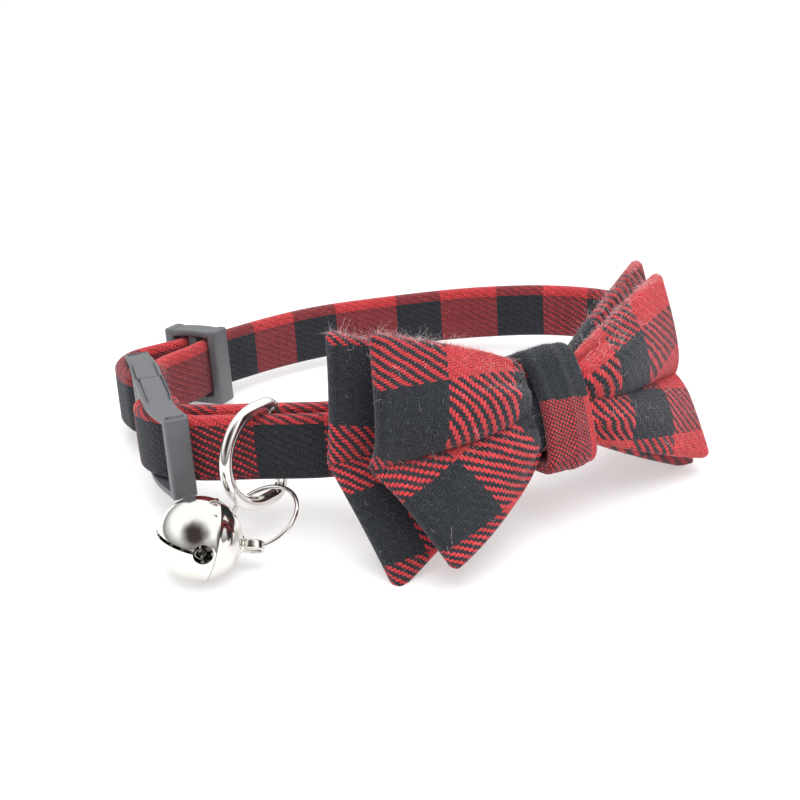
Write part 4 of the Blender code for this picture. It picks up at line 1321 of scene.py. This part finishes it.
fibres = [
    make_fibres("bow_front_fibres", bow_front, 11000, 1, upward, 0.8, 1.2),
    make_fibres("bow_back_fibres", bow_back, 8000, 2, upward, 0.8, 1.2),
    make_fibres("knot_fibres", knot, 4200, 3, upward, 0.8, 1.0),
    make_fibres("strap_fibres", strap, 9000, 4, upward, 0.6, 1.0),
    make_fibres("rim_fibres_front", bow_front, 900, 6, rims, 3.4, 1.7, lint, 0.6),
    make_fibres("rim_fibres_back", bow_back, 900, 7, rims, 3.4, 1.7, lint, 0.6),
    make_fibres("stray_fibres", bow_front, 110, 9, upward, 3.6, 3.0, lint, 0.7),
    make_fibres("rim_nap_front", bow_front, 3000, 12, rims, 1.1, 1.2),
    make_fibres("rim_nap_back", bow_back, 3000, 13, rims, 1.1, 1.2),
]

# ---------------------------------------------------------------- frame facts
FINISHES = {
    "check_cloth": {
        "collar_strap": strap, "bow_back": bow_back, "bow_front": bow_front, "bow_knot": knot,
    },
    "black_plastic": {"buckle_far": buckle_far, "buckle_near": buckle_near, "slider": slider},
    "nickel_wire": {"d_ring": d_ring, "jump_ring": jump_ring},
    "nickel_bell": {"bell_shell": bell_shell, "bell_cap": bell_cap, "bell_ball": bell_ball},
}
for finish, nodes in FINISHES.items():
    for node, made in nodes.items():
        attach(made, "root")
        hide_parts(node)
for made in fibres:
    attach(made, "root")

# ---------------------------------------------------------------- floor, light, camera
FLOOR = 6.0
floor_mesh = bpy.data.meshes.new("floor")
corners = [(x * FLOOR, y * FLOOR, 0.0) for x, y in ((-1, -1), (1, -1), (1, 1), (-1, 1))]
floor_mesh.from_pydata(corners, [], [(0, 1, 2, 3)])
floor = show("floor", floor_mesh)
floor_look = new_look("pale_floor")
floor_look.set(
    Base_Color=(0.60, 0.595, 0.60, 1.0), Roughness=0.9, Specular_IOR_Level=0.1,
    Emission_Color=(1.0, 0.99, 0.99, 1.0), Emission_Strength=0.42,
)
floor_mesh.materials.append(floor_look.owner)

ROOM = (1.0, 0.99, 0.985, 1.0)
ROOM_LOW = (0.26, 0.255, 0.25, 1.0)
ROOM_BRIGHT = (1.68, 1.67, 1.66, 1.0)
ROOM_STRENGTH = 0.80
CARD = (0.075, 0.058, 0.052, 1.0)
CARD_WAY = Vector((-0.437, -0.60, 0.66)).normalized()


def room_light():
    """A white room, dimmer towards its walls' foot, with a dark card above the front."""
    sky = bpy.data.worlds.new("studio")
    bpy.context.scene.world = sky
    g = Graph(sky, "Background")
    way = g.place("Generated")
    near = g.vector("DOT_PRODUCT", way, tuple(CARD_WAY), "Value")
    ragged, _ = g.noise(way, 3.0, 2.0)
    card = g.ramp(g.math("MULTIPLY_ADD", ragged, 0.16, near), 0.74, 1.05)
    card.node.interpolation_type = "SMOOTHSTEP"
    wall = g.ramp(g.split(way)[2], 0.02, 0.45)
    mirrored = g.mix(card, g.mix(wall, ROOM_LOW, ROOM_BRIGHT), CARD)
    glossy = g.node("LightPath").outputs["Is Glossy Ray"]
    g.set(Color=g.mix(glossy, ROOM, mirrored), Strength=ROOM_STRENGTH)


def aim(made, place, target):
    made.location = place
    made.rotation_mode = "QUATERNION"
    made.rotation_quaternion = (Vector(target) - Vector(place)).to_track_quat("-Z", "Y")


def area_light(name, place, target, size, power):
    light = bpy.data.lights.new(name, "AREA")
    light.shape = "DISK"
    light.size = size
    light.energy = power
    made = show(name, light)
    made.visible_glossy = False
    aim(made, place, target)


room_light()
area_light("top_light", (-0.05, -0.13, 0.60), (0.0, 0.0, 0.0), 0.70, 4.3)
area_light("front_light", (-0.45, -0.30, 0.40), (0.0, 0.0, 0.01), 0.45, 0.2)

CAMERA_PLACE = Vector((-109.429, -180.036, 107.668)) * MM
CAMERA_TARGET = Vector((-7.088, -8.750, 15.0)) * MM
lens = bpy.data.cameras.new("camera")
lens.lens = 56.93
lens.sensor_width = 36.0
lens.clip_start = 0.01
lens.clip_end = 50.0
lens.dof.use_dof = False
camera = show("camera", lens)
aim(camera, CAMERA_PLACE, CAMERA_TARGET)
scene = bpy.context.scene
scene.camera = camera
scene.view_settings.view_transform = "Standard"
scene.view_settings.look = "None"
